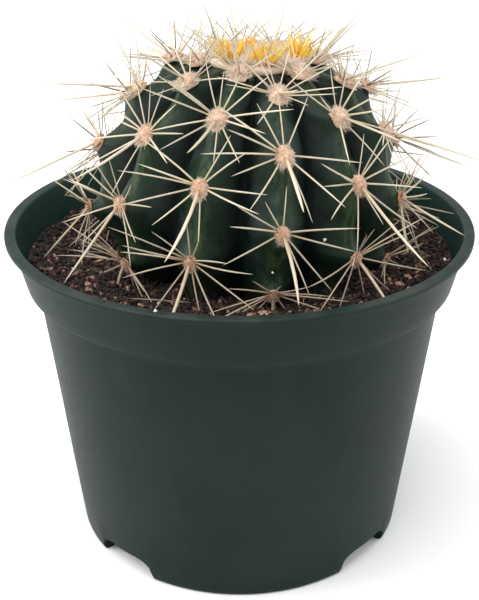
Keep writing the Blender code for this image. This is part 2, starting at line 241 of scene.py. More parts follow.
def enclosed_volume(points: np.ndarray, triangles: np.ndarray) -> float:
    """Sum the signed volumes between the origin and every triangle.

    Args:
        points: All points.
        triangles: Three point numbers each.

    Returns:
        The volume, which is negative if the faces look inwards.
    """
    a, b, c = (points[triangles[:, i]] for i in range(3))
    return float(np.einsum("ij,ij->i", a, np.cross(b, c)).sum() / 6)


def make_piece(name: str, groups: list[Skins], smooth: bool = True) -> bpy.types.Object:
    """Turn closed skins into one named object with its values and its bake map.

    Args:
        name: The piece's name.
        groups: Skins of one or more kinds; all have the same named values.
        smooth: Whether the faces are shaded smooth.

    Returns:
        The object, linked to the scene and riding on the body.
    """
    points, starts, corners, places, triangulated = [], [], [], [], []
    values = {key: [] for key in groups[0].values}
    point_count = 0
    corner_count = 0
    for skins in groups:
        own = skins.points()
        quads, quad_map, triangles, triangle_map = skins.faces()
        split = np.concatenate([triangles, quads[:, :3], quads[:, [0, 2, 3]]])
        if enclosed_volume(own, split) < 0:
            quads, quad_map = quads[:, ::-1], quad_map[:, ::-1]
            triangles, triangle_map = triangles[:, ::-1], triangle_map[:, ::-1]
        triangulated.append(len(split))
        for faces, laid in ((quads, quad_map), (triangles, triangle_map)):
            width = faces.shape[1]
            starts.append(corner_count + width * np.arange(len(faces)))
            corners.append((faces + point_count).ravel())
            places.append(laid.reshape(-1, 2))
            corner_count += faces.size
        for key in values:
            values[key].append(skins.spread_value(key))
        points.append(own)
        point_count += len(own)
    mesh = mesh_of(name, np.concatenate(points), np.concatenate(starts),
                   np.concatenate(corners), smooth)
    layer = mesh.uv_layers.new(name=BAKE_MAP)
    layer.uv.foreach_set("vector", np.concatenate(places).astype(np.float32).ravel())
    for key, parts in values.items():
        attribute = mesh.attributes.new(key, "FLOAT", "POINT")
        attribute.data.foreach_set("value", np.concatenate(parts).astype(np.float32))
    log.info("%s: %d skins, %d triangles", name, sum(s.count for s in groups), sum(triangulated))
    return add_object(name, mesh)


def mesh_of(name: str, points: np.ndarray, starts: np.ndarray, corners: np.ndarray,
            smooth: bool) -> bpy.types.Mesh:
    """Fill a mesh from arrays.

    Args:
        name: The mesh's name.
        points: Places of the points.
        starts: The first corner of every face.
        corners: The point under every corner.
        smooth: Whether the faces are shaded smooth.

    Returns:
        The mesh.
    """
    mesh = bpy.data.meshes.new(name)
    mesh.vertices.add(len(points))
    mesh.vertices.foreach_set("co", points.astype(np.float32).ravel())
    mesh.loops.add(len(corners))
    mesh.loops.foreach_set("vertex_index", corners.astype(np.int32))
    mesh.polygons.add(len(starts))
    mesh.polygons.foreach_set("loop_start", starts.astype(np.int32))
    mesh.polygons.foreach_set("use_smooth", np.full(len(starts), smooth))
    mesh.update(calc_edges=True)
    mesh.validate()
    return mesh


def add_object(name: str, mesh: bpy.types.Mesh) -> bpy.types.Object:
    """Link a mesh to the scene as a piece that rides on the body."""
    piece = bpy.data.objects.new(name, mesh)
    bpy.context.scene.collection.objects.link(piece)
    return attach(piece, BODY)


def grow_needles(start: np.ndarray, tip: np.ndarray, flat: np.ndarray, width: np.ndarray,
                 bend: np.ndarray, stations: np.ndarray, sides: int, taper: float,
                 thin: float) -> np.ndarray:
    """Sweep a flattened circle along a slightly bowed line for every needle.

    The line is start + s (tip - start) + 4 s (1 - s) bend. The half width falls a little
    along the needle and closes to a point over the last part, as the square root of what is left.

    Args:
        start: Where each needle starts.
        tip: Where it ends.
        flat: A direction that the needle's flat side faces.
        width: Width at the start.
        bend: How far its middle bows out, as a vector.
        stations: Shares of the length at which rings lie.
        sides: Points on each ring.
        taper: Share of the length over which the end closes to a point.
        thin: Thickness over width.

    Returns:
        Rings as needle, ring, side, xyz.
    """
    along = stations[None, :, None]
    line = start[:, None] + along * (tip - start)[:, None]
    line = line + 4 * along * (1 - along) * bend[:, None]
    run = unit(tip - start)
    across = unit(np.cross(run, flat))
    face = np.cross(across, run)
    closing = np.sqrt(np.clip((1 - stations) / taper, 0, 1))
    half = width[:, None] / 2 * (1 - NEEDLE_LOSS * stations[None]) * closing[None]
    turn = (np.arange(sides) + 0.5) / sides * math.tau
    ring = (np.cos(turn)[None, None, :, None] * across[:, None, None]
            + thin * np.sin(turn)[None, None, :, None] * face[:, None, None])
    return line[:, :, None] + half[:, :, None, None] * ring


# ---- node work ----


class Shape(Enum):
    """Ways in which two colours are laid over each other."""

    PLAIN = "MIX"
    DARKEN = "MULTIPLY"


class NodeBench:
    """Places and joins shader nodes in one tree."""

    def __init__(self, tree: bpy.types.NodeTree) -> None:
        """Keep the tree that nodes are placed in."""
        self.tree = tree

    def feed(self, socket: bpy.types.NodeSocket, value: object) -> None:
        """Link a socket to another, or set its own value.

        Args:
            socket: The input.
            value: An output socket, a number, a vector or a colour.
        """
        if isinstance(value, bpy.types.NodeSocket):
            self.tree.links.new(value, socket)
        elif socket.type == "RGBA" and len(value) == 3:
            socket.default_value = (*value, 1.0)
        else:
            socket.default_value = value

    def add(self, kind: str, inputs: dict[str | int, object] | None = None,
            **settings: object) -> bpy.types.Node:
        """Place a node.

        Args:
            kind: Blender's name of the node type, without "ShaderNode".
            inputs: What goes into its sockets, by name or number.
            **settings: Its own properties.

        Returns:
            The node.
        """
        node = self.tree.nodes.new(f"ShaderNode{kind}")
        for name, value in settings.items():
            setattr(node, name, value)
        for name, value in (inputs or {}).items():
            self.feed(node.inputs[name], value)
        return node

    def place(self) -> bpy.types.NodeSocket:
        """Object coordinates, in metres."""
        return self.add("TexCoord").outputs["Object"]

    def value(self, name: str) -> bpy.types.NodeSocket:
        """A value that the mesh carries, by name."""
        return self.add("Attribute", attribute_name=name).outputs["Fac"]

    def math(self, operation: str, first: object, second: object = 0.0,
             clamp: bool = False) -> bpy.types.NodeSocket:
        """Work out one number from two.

        Args:
            operation: Blender's name of the operation.
            first: The first number or socket.
            second: The second.
            clamp: Whether the result is kept between 0 and 1.

        Returns:
            The result.
        """
        node = self.add("Math", {0: first, 1: second}, operation=operation, use_clamp=clamp)
        return node.outputs[0]

    def times(self, first: object, second: object) -> bpy.types.NodeSocket:
        """Multiply two numbers."""
        return self.math("MULTIPLY", first, second)

    def plus(self, first: object, second: object, clamp: bool = False) -> bpy.types.NodeSocket:
        """Add two numbers; clamp keeps the sum between 0 and 1."""
        return self.math("ADD", first, second, clamp)

    def shade(self, colour: object, level: object, share: float) -> bpy.types.NodeSocket:
        """Multiply a colour by a grey level, for a share of the effect."""
        grey = self.add("CombineColor", {0: level, 1: level, 2: level}).outputs[0]
        return self.mix(share, colour, grey, Shape.DARKEN)

    def height(self, place: object) -> bpy.types.NodeSocket:
        """The height of a place."""
        return self.add("SeparateXYZ", {0: place}).outputs["Z"]

    def grade(self, value: object, low: float, high: float, start: float = 0.0,
              end: float = 1.0) -> bpy.types.NodeSocket:
        """Carry a range of numbers smoothly over to another range, clipped at its ends.

        Args:
            value: The number.
            low: Start of its range.
            high: End of its range.
            start: What low becomes.
            end: What high becomes.

        Returns:
            The graded number.
        """
        inputs = {"Value": value, "From Min": low, "From Max": high, "To Min": start,
                  "To Max": end}
        node = self.add("MapRange", inputs, interpolation_type="SMOOTHSTEP")
        return node.outputs[0]

    def mix(self, share: object, first: object, second: object,
            shape: Shape = Shape.PLAIN) -> bpy.types.NodeSocket:
        """Lay a second colour over a first.

        Args:
            share: How much of the second shows.
            first: The colour below.
            second: The colour above.
            shape: How they are laid over each other.

        Returns:
            The mixed colour.
        """
        node = self.add("Mix", {0: share, 6: first, 7: second}, data_type="RGBA",
                        blend_type=shape.value)
        return node.outputs[2]

    def stretch(self, place: object, scale: tuple[float, float, float]) -> bpy.types.NodeSocket:
        """Scale a place along its three axes."""
        return self.add("Mapping", {"Vector": place, "Scale": scale}).outputs[0]

    def noise(self, place: object, size: float, detail: float = 3.0,
              rough: float = 0.5) -> bpy.types.NodeSocket:
        """Cloudy noise whose features are about as wide as size.

        Args:
            place: Coordinates.
            size: Width of a feature, in metres.
            detail: How many finer layers lie on top.
            rough: How strong the finer layers are.

        Returns:
            A number around one half.
        """
        inputs = {"Vector": place, "Scale": 1 / size, "Detail": detail, "Roughness": rough}
        return self.add("TexNoise", inputs).outputs["Fac"]

    def ramp(self, value: object, stops: list[tuple[float, Colour]]) -> bpy.types.NodeSocket:
        """Turn a number into a colour.

        Args:
            value: The number.
            stops: Places between 0 and 1 and the colour at each, in rising order.

        Returns:
            The colour.
        """
        node = self.add("ValToRGB", {0: value})
        marks = node.color_ramp.elements
        while len(marks) < len(stops):
            marks.new(1.0)
        for mark, (spot, colour) in zip(marks, stops):
            mark.position = spot
            mark.color = (*colour, 1.0)
        return node.outputs[0]

    def bump(self, height: object, depth: float, strength: float = 1.0,
             below: object | None = None) -> bpy.types.NodeSocket:
        """Tilt the normal as if the surface stood up by height times depth.

        Args:
            height: A mask.
            depth: How far the mask's full value stands up, in metres.
            strength: Share of the effect.
            below: A bumped normal that this one adds to.

        Returns:
            The normal.
        """
        node = self.add("Bump", {"Height": height, "Distance": depth, "Strength": strength})
        if below is not None:
            self.feed(node.inputs["Normal"], below)
        return node.outputs[0]

    def surface(self, shader: bpy.types.Node, colour: object, rough: object, normal: object,
                plain: dict[str, float] | None = None) -> None:
        """Give a Principled shader its colour, its roughness and its normal.

        Args:
            shader: The shader.
            colour: Its base colour.
            rough: Its roughness.
            normal: Its normal.
            plain: Values that are the same all over the surface, by socket.
        """
        sockets = {"Base Color": colour, "Roughness": rough, "Normal": normal, **(plain or {})}
        for name, value in sockets.items():
            self.feed(shader.inputs[name], value)


class SharedEffects:
    """Node groups that more than one finish places, each built the first time it is asked for."""

    def __init__(self) -> None:
        """Start with no group built."""
        self.built: dict[str, bpy.types.NodeTree] = {}

    def start(self, name: str, inputs: dict[str, tuple[str, object]],
              outputs: dict[str, str]) -> tuple[NodeBench, dict, bpy.types.Node]:
        """Open a new group with its sockets.

        Args:
            name: The group's name.
            inputs: Socket type and first value, by name.
            outputs: Socket type, by name.

        Returns:
            A bench on the group, its input sockets by name and its output node.
        """
        tree = bpy.data.node_groups.new(name, "ShaderNodeTree")
        for label, (kind, value) in inputs.items():
            socket = tree.interface.new_socket(label, in_out="INPUT", socket_type=kind)
            if value is not None:
                socket.default_value = value
        for label, kind in outputs.items():
            tree.interface.new_socket(label, in_out="OUTPUT", socket_type=kind)
        bench = NodeBench(tree)
        entry = tree.nodes.new("NodeGroupInput")
        leave = tree.nodes.new("NodeGroupOutput")
        self.built[name] = tree
        return bench, {socket.name: socket for socket in entry.outputs}, leave

    def put(self, bench: NodeBench, name: str, inputs: dict[str, object]) -> bpy.types.Node:
        """Place a group in a material.

        Args:
            bench: Bench on the material.
            name: Which group; a method of the same name builds it.
            inputs: What goes into its sockets.

        Returns:
            The group's node.
        """
        if name not in self.built:
            getattr(self, name)()
        node = bench.tree.nodes.new("ShaderNodeGroup")
        node.node_tree = self.built[name]
        for label, value in inputs.items():
            bench.feed(node.inputs[label], value)
        return node

    def grain(self) -> None:
        """Build fine grain: a coarse and a fine noise added up, as a height and a mask."""
        bench, given, leave = self.start(
            "grain",
            {"Place": ("NodeSocketVector", None), "Scale": ("NodeSocketFloat", 500.0),
             "Fine share": ("NodeSocketFloat", 0.4)},
            {"Height": "NodeSocketFloat", "Mask": "NodeSocketFloat"},
        )
        coarse = bench.add("TexNoise", {"Vector": given["Place"], "Scale": given["Scale"],
                                        "Detail": 3.0}).outputs["Fac"]
        finer = bench.times(given["Scale"], 4.3)
        fine = bench.add("TexNoise", {"Vector": given["Place"], "Scale": finer,
                                      "Detail": 2.0}).outputs["Fac"]
        height = bench.plus(coarse, bench.times(fine, given["Fine share"]))
        bench.feed(leave.inputs["Height"], height)
        bench.feed(leave.inputs["Mask"], bench.grade(coarse, 0.38, 0.62))

    def specks(self) -> None:
        """Build scattered specks: round spots in a share of the cells of a random mesh."""
        bench, given, leave = self.start(
            "specks",
            {"Place": ("NodeSocketVector", None), "Scale": ("NodeSocketFloat", 200.0),
             "Share": ("NodeSocketFloat", 0.1), "Width": ("NodeSocketFloat", 0.2)},
            {"Mask": "NodeSocketFloat"},
        )
        cells = bench.add("TexVoronoi", {"Vector": given["Place"], "Scale": given["Scale"]})
        lucky = bench.add("SeparateColor", {0: cells.outputs["Color"]}).outputs[0]
        chosen = bench.math("LESS_THAN", lucky, given["Share"])
        width = bench.times(given["Width"], bench.plus(0.4, bench.times(lucky, 6.0)))
        near = bench.math("LESS_THAN", cells.outputs["Distance"], width)
        bench.feed(leave.inputs["Mask"], bench.times(chosen, near))

    def dust(self) -> None:
        """Build settled dust: thicker on faces that look up, broken into patches."""
        bench, given, leave = self.start(
            "dust",
            {"Place": ("NodeSocketVector", None), "Scale": ("NodeSocketFloat", 60.0),
             "Amount": ("NodeSocketFloat", 0.5)},
            {"Mask": "NodeSocketFloat"},
        )
        normal = bench.add("NewGeometry").outputs["Normal"]
        facing = bench.grade(bench.height(normal), -0.1, 0.95)
        patches = bench.add("TexNoise", {"Vector": given["Place"], "Scale": given["Scale"],
                                         "Detail": 6.0, "Roughness": 0.65}).outputs["Fac"]
        cover = bench.times(facing, bench.grade(patches, 0.35, 0.7))
        bench.feed(leave.inputs["Mask"], bench.times(cover, given["Amount"]))

    def streaks(self) -> None:
        """Build long streaks that run up and down: noise squeezed sideways."""
        bench, given, leave = self.start(
            "streaks",
            {"Place": ("NodeSocketVector", None), "Scale": ("NodeSocketFloat", 200.0)},
            {"Mask": "NodeSocketFloat"},
        )
        drawn = bench.stretch(given["Place"], (1.0, 1.0, 0.07))
        lines = bench.add("TexNoise", {"Vector": drawn, "Scale": given["Scale"],
                                       "Detail": 4.0, "Roughness": 0.6}).outputs["Fac"]
        bench.feed(leave.inputs["Mask"], bench.grade(lines, 0.4, 0.72))


EFFECTS = SharedEffects()


def open_material(name: str) -> tuple[NodeBench, bpy.types.Node, bpy.types.Material]:
    """Start a material.

    Args:
        name: The material's name.

    Returns:
        A bench on its nodes, its Principled shader and the material.
    """
    material = bpy.data.materials.new(name)
    material.use_nodes = True
    bench = NodeBench(material.node_tree)
    return bench, material.node_tree.nodes["Principled BSDF"], material


@dataclass(frozen=True)
class PotPlastic:
    """Dark green moulded plastic with a matt skin, faint flow streaks and a dusty, rubbed lip; the
    inner wall above the soil is painted lighter as painted light.
    """

    deep: Colour = (0.0052, 0.0128, 0.0112)
    lighter: Colour = (0.0084, 0.0185, 0.0162)
    lip: Colour = (0.018, 0.034, 0.028)
    # painted light: the inner wall is the same plastic, given this lighter colour to stand in for
    # light falling inside the pot
    inner: Colour = (0.018, 0.048, 0.040)
    dust: Colour = (0.13, 0.12, 0.105)
    speck: Colour = (0.008, 0.010, 0.009)
    lip_height: float = 109.3 * MM
    lip_share: float = 0.6
    band_slope: float = 0.206
    wall_middle: float = 50.7 * MM
    wall_edge: float = 0.2 * MM
    inner_light_start: float = 88 * MM
    inner_light_full: float = 96 * MM
    inner_painted_light_share: float = 0.85
    streak_share: float = 0.30
    dust_amount: float = 0.22
    roughness: float = 0.38

    def build(self) -> bpy.types.Material:
        """Build the material."""
        bench, shader, material = open_material("pot_plastic_look")
        place = bench.place()
        height = bench.height(place)
        broad = bench.noise(place, 38 * MM, 3.0, 0.55)
        streaks = EFFECTS.put(bench, "streaks", {"Place": place, "Scale": 260.0})
        dust = EFFECTS.put(bench, "dust",
                           {"Place": place, "Scale": 90.0, "Amount": self.dust_amount})
        specks = EFFECTS.put(bench, "specks",
                             {"Place": place, "Scale": 95.0, "Share": 0.10, "Width": 0.055})
        grain = EFFECTS.put(bench, "grain",
                            {"Place": place, "Scale": 1500.0, "Fine share": 0.5})
        colour = bench.mix(bench.grade(broad, 0.35, 0.65), self.deep, self.lighter)
        faint = bench.times(streaks.outputs["Mask"], self.streak_share)
        colour = bench.mix(faint, colour, self.lighter)
        rubbed = bench.grade(height, self.lip_height - 0.6 * MM, self.lip_height + 0.5 * MM)
        worn = bench.times(rubbed, bench.grade(bench.noise(place, 7 * MM), 0.1, 0.7))
        colour = bench.mix(bench.times(worn, self.lip_share), colour, self.lip)
        # painted light: the inner wall above the soil takes the lighter inner colour in place of
        # real light
        reach = bench.add("VectorMath", {0: bench.stretch(place, (1.0, 1.0, 0.0))},
                          operation="LENGTH").outputs["Value"]
        across = bench.math("SUBTRACT", reach, bench.times(height, self.band_slope))
        inside = bench.grade(across, self.wall_middle + self.wall_edge,
                             self.wall_middle - self.wall_edge)
        inside = bench.times(inside, bench.grade(height, self.inner_light_start, self.inner_light_full))
        colour = bench.mix(bench.times(inside, self.inner_painted_light_share), colour, self.inner)
        colour = bench.mix(dust.outputs["Mask"], colour, self.dust)
        colour = bench.mix(specks.outputs["Mask"], colour, self.speck)
        rough = bench.plus(bench.times(grain.outputs["Mask"], 0.07),
                           bench.times(dust.outputs["Mask"], 0.35))
        rough = bench.plus(rough, bench.times(broad, 0.12))
        rough = bench.plus(rough, self.roughness)
        skin = bench.bump(grain.outputs["Height"], 0.035 * MM, 0.8)
        skin = bench.bump(streaks.outputs["Mask"], 0.03 * MM, 0.7, skin)
        bench.surface(shader, colour, rough, skin, {"IOR": 1.47, "Specular IOR Level": 0.13})
        return material


@dataclass(frozen=True)
class SoilMix:
    """Peat and bark: purple-brown crumbs with reddish and tan bits, each with its own tint, with
    painted shade in the pits of the grain.
    """

    peat: Colour = (0.0050, 0.0026, 0.0024)
    brown: Colour = (0.0200, 0.0086, 0.0068)
    red: Colour = (0.076, 0.030, 0.021)
    tan: Colour = (0.430, 0.248, 0.180)
    fibre_width: float = 0.7 * MM
    depth: float = 0.25 * MM

    def build(self) -> bpy.types.Material:
        """Build the material."""
        bench, shader, material = open_material("soil_mix_look")
        place = bench.place()
        tint = bench.value("tint")
        grain = EFFECTS.put(bench, "grain",
                            {"Place": place, "Scale": 900.0, "Fine share": 0.6})
        fibres = bench.noise(bench.stretch(place, (1.0, 0.35, 1.0)), self.fibre_width, 4.0, 0.6)
        shifted = bench.plus(tint, bench.grade(fibres, 0.2, 0.8, -0.16, 0.16), clamp=True)
        colour = bench.ramp(shifted, [(0.0, self.peat), (0.45, self.brown), (0.78, self.red),
                                      (1.0, self.tan)])
        # painted shade: the colour is darkened in the low pits of the grain and lightened a little
        # on its tops as painted light
        dark = bench.grade(grain.outputs["Height"], 0.45, 0.8, 0.45, 1.15)
        colour = bench.shade(colour, dark, 0.85)
        rough = bench.grade(grain.outputs["Mask"], 0.0, 1.0, 0.62, 0.95)
        bench.surface(shader, colour, rough, bench.bump(grain.outputs["Height"], self.depth, 0.9))
        return material


@dataclass(frozen=True)
class PerliteWhite:
    """Porous white grains, stained a little by the soil."""

    white: Colour = (0.80, 0.77, 0.72)
    stain: Colour = (0.42, 0.31, 0.25)
    stain_share: float = 0.7

    def build(self) -> bpy.types.Material:
        """Build the material."""
        bench, shader, material = open_material("perlite_look")
        place = bench.place()
        grain = EFFECTS.put(bench, "grain",
                            {"Place": place, "Scale": 1400.0, "Fine share": 0.5})
        stained = bench.grade(bench.noise(place, 1.2 * MM, 3.0), 0.45, 0.75)
        colour = bench.mix(bench.times(stained, self.stain_share), self.white, self.stain)
        rough = bench.grade(grain.outputs["Mask"], 0.0, 1.0, 0.75, 0.95)
        bench.surface(shader, colour, rough, bench.bump(grain.outputs["Height"], 0.2 * MM, 0.8))
        return material


@dataclass(frozen=True)
class CactusSkin:
    """Very dark blue-green skin with painted shade down into the grooves, lighter crests that are
    partly a painted highlight, grey-blue wax patches that are partly a painted reflection, and
    small pale scars.
    """

    # painted shade: from shoulder to groove the skin darkens, nearly to black at the groove's
    # bottom, where shade falls
    groove: Colour = (0.0009, 0.0026, 0.0021)
    flank: Colour = (0.0030, 0.0090, 0.0062)
    shoulder: Colour = (0.0074, 0.0205, 0.0102)
    # partly painted highlight: the lighter green along each crest is partly the skin's own streaks
    # and partly a painted highlight on the rounded crest
    crest: Colour = (0.0450, 0.0720, 0.0290)
    # partly painted reflection: the grey-blue patches are partly a wax film on the skin and partly
    # a painted soft reflection of the light
    bloom_and_reflection: Colour = (0.045, 0.053, 0.060)
    scar: Colour = (0.230, 0.270, 0.180)
    soil: Colour = (0.075, 0.045, 0.035)
    soil_line: float = 98 * MM
    splash_height: float = 7 * MM
    crest_streak_and_highlight_share: float = 0.75
    bloom_and_reflection_share: float = 0.38
    scar_share: float = 0.55
    splash_share: float = 0.7

    def build(self) -> bpy.types.Material:
        """Build the material."""
        bench, shader, material = open_material("cactus_skin_look")
        place = bench.place()
        crest = bench.value("crest")
        mottle = bench.noise(place, 5 * MM, 5.0, 0.6)
        drawn = bench.noise(bench.stretch(place, (1.0, 1.0, 0.22)), 1.6 * MM, 4.0, 0.55)
        # painted shade: the colour follows nearness to the crest and darkens down into each groove
        along = bench.plus(crest, bench.grade(mottle, 0.3, 0.7, -0.12, 0.12), clamp=True)
        colour = bench.ramp(along, [(0.0, self.groove), (0.35, self.flank),
                                    (0.80, self.shoulder), (1.0, self.shoulder)])
        # partly painted highlight: lighter streaks near the crest, partly the skin's own colour and
        # partly painted highlight
        line = bench.times(bench.grade(crest, 0.78, 0.99), bench.grade(drawn, 0.36, 0.66))
        colour = bench.mix(bench.times(line, self.crest_streak_and_highlight_share), colour, self.crest)
        # partly painted reflection: grey-blue patches away from the grooves, partly wax and partly
        # a painted reflection
        patches = bench.grade(bench.noise(place, 13 * MM, 4.0, 0.6), 0.45, 0.72)
        waxy_and_reflection = bench.times(patches, bench.grade(crest, 0.15, 0.5))
        colour = bench.mix(bench.times(waxy_and_reflection, self.bloom_and_reflection_share), colour, self.bloom_and_reflection)
        scars = EFFECTS.put(bench, "specks", {"Place": bench.stretch(place, (1.0, 1.0, 0.6)),
                                              "Scale": 230.0, "Share": 0.06, "Width": 0.13})
        worn = bench.times(scars.outputs["Mask"], bench.grade(drawn, 0.4, 0.6))
        colour = bench.mix(bench.times(worn, self.scar_share), colour, self.scar)
        low = bench.grade(bench.height(place), self.soil_line + self.splash_height,
                          self.soil_line)
        splash = bench.times(low, bench.grade(drawn, 0.45, 0.7))
        colour = bench.mix(bench.times(splash, self.splash_share), colour, self.soil)
        grain = EFFECTS.put(bench, "grain",
                            {"Place": place, "Scale": 1100.0, "Fine share": 0.4})
        rough = bench.plus(bench.grade(mottle, 0.3, 0.7, 0.28, 0.44), bench.times(waxy_and_reflection, 0.16))
        rough = bench.plus(rough, bench.times(splash, 0.3))
        rough = bench.plus(rough, bench.grade(crest, 0.22, 0.02, 0.0, 0.6), clamp=True)
        skin = bench.bump(grain.outputs["Height"], 0.045 * MM, 0.8)
        skin = bench.bump(drawn, 0.25 * MM, 0.5, skin)
        skin = bench.bump(mottle, 0.5 * MM, 0.6, skin)
        bench.surface(shader, colour, rough, skin, {
            "IOR": 1.45, "Specular IOR Level": 0.15, "Coat Weight": 0.05,
            "Coat Roughness": 0.18})
        return material


@dataclass(frozen=True)
class SpineHorn:
    """Horn-like spines: darker at the root, straw along the shaft, with fine rings across."""

    name: str = "spine_straw_look"
    root: Colour = (0.410, 0.230, 0.130)
    shaft: Colour = (0.530, 0.425, 0.285)
    upper: Colour = (0.600, 0.530, 0.395)
    tip: Colour = (0.480, 0.350, 0.220)
    old: Colour = (0.360, 0.215, 0.120)
    old_share: float = 0.55
    rings: float = 240.0

    def build(self) -> bpy.types.Material:
        """Build the material."""
        bench, shader, material = open_material(self.name)
        place = bench.place()
        along = bench.value("along")
        tone = bench.value("tone")
        age = bench.value("age")
        colour = bench.ramp(along, [(0.0, self.root), (0.14, self.shaft), (0.60, self.upper),
                                    (0.93, self.upper), (1.0, self.tip)])
        streak = bench.noise(bench.stretch(place, (1.0, 1.0, 0.4)), 0.9 * MM, 4.0, 0.6)
        patch = bench.grade(streak, 0.3, 0.75)
        aged = bench.times(age, bench.plus(bench.times(patch, 0.6), 0.4))
        colour = bench.mix(bench.times(aged, self.old_share), colour, self.old)
        colour = bench.shade(colour, bench.grade(tone, 0.0, 1.0, 0.80, 1.12), 1.0)
        rough = bench.grade(streak, 0.3, 0.7, 0.38, 0.58)
        wave = bench.math("SINE", bench.times(along, self.rings))
        skin = bench.bump(bench.grade(wave, -1.0, 1.0), 0.035 * MM, 0.8)
        bench.surface(shader, colour, rough, bench.bump(streak, 0.08 * MM, 0.5, skin))
        return material


@dataclass(frozen=True)
class WoolFelt:
    """Short felted hair: pinkish tan in the middle of a pad, cream to white at its tips."""

    name: str
    deep: Colour
    middle: Colour
    pale: Colour
    sheen: float = 0.35

    def build(self) -> bpy.types.Material:
        """Build the material."""
        bench, shader, material = open_material(self.name)
        place = bench.place()
        tone = bench.value("tone")
        along = bench.value("along")
        tuft = bench.noise(place, 0.55 * MM, 3.0, 0.6)
        mixed = bench.plus(bench.times(tone, 0.55), bench.times(along, 0.45))
        mixed = bench.plus(mixed, bench.grade(tuft, 0.3, 0.7, -0.18, 0.18), clamp=True)
        colour = bench.ramp(mixed, [(0.0, self.deep), (0.40, self.middle), (0.82, self.pale)])
        bench.surface(shader, colour, bench.grade(tuft, 0.2, 0.8, 0.80, 0.98),
                      bench.bump(tuft, 0.25 * MM, 0.8),
                      {"Sheen Weight": self.sheen, "Sheen Roughness": 0.4})
        return material


@dataclass(frozen=True)
class RootFibre:
    """Tan, stringy root bark with darker, soil-stained hollows."""

    bark: Colour = (0.36, 0.24, 0.14)
    stain: Colour = (0.10, 0.06, 0.04)
    depth: float = 0.3 * MM

    def build(self) -> bpy.types.Material:
        """Build the material."""
        bench, shader, material = open_material("root_fibre_look")
        place = bench.place()
        grain = EFFECTS.put(bench, "grain",
                            {"Place": place, "Scale": 400.0, "Fine share": 0.6})
        lines = EFFECTS.put(bench, "streaks", {"Place": place, "Scale": 900.0})
        dark = bench.times(grain.outputs["Mask"], lines.outputs["Mask"])
        skin = bench.bump(lines.outputs["Mask"], self.depth, 0.7)
        skin = bench.bump(grain.outputs["Height"], self.depth, 0.7, skin)
        bench.surface(shader, bench.mix(dark, self.bark, self.stain),
                      bench.grade(dark, 0.0, 1.0, 0.78, 0.95), skin)
        return material


@dataclass(frozen=True)
class StudioWhite:
    """The plain pale floor."""

    colour: Colour = (0.93, 0.93, 0.93)

    def build(self) -> bpy.types.Material:
        """Build the material."""
        _, shader, material = open_material("studio_white")
        shader.inputs["Base Color"].default_value = (*self.colour, 1.0)
        shader.inputs["Roughness"].default_value = 0.9
        return material


def dress(piece: bpy.types.Object, material: bpy.types.Material) -> None:
    """Give a new piece its material."""
    piece.data.materials.append(material)


# ---- pot ----


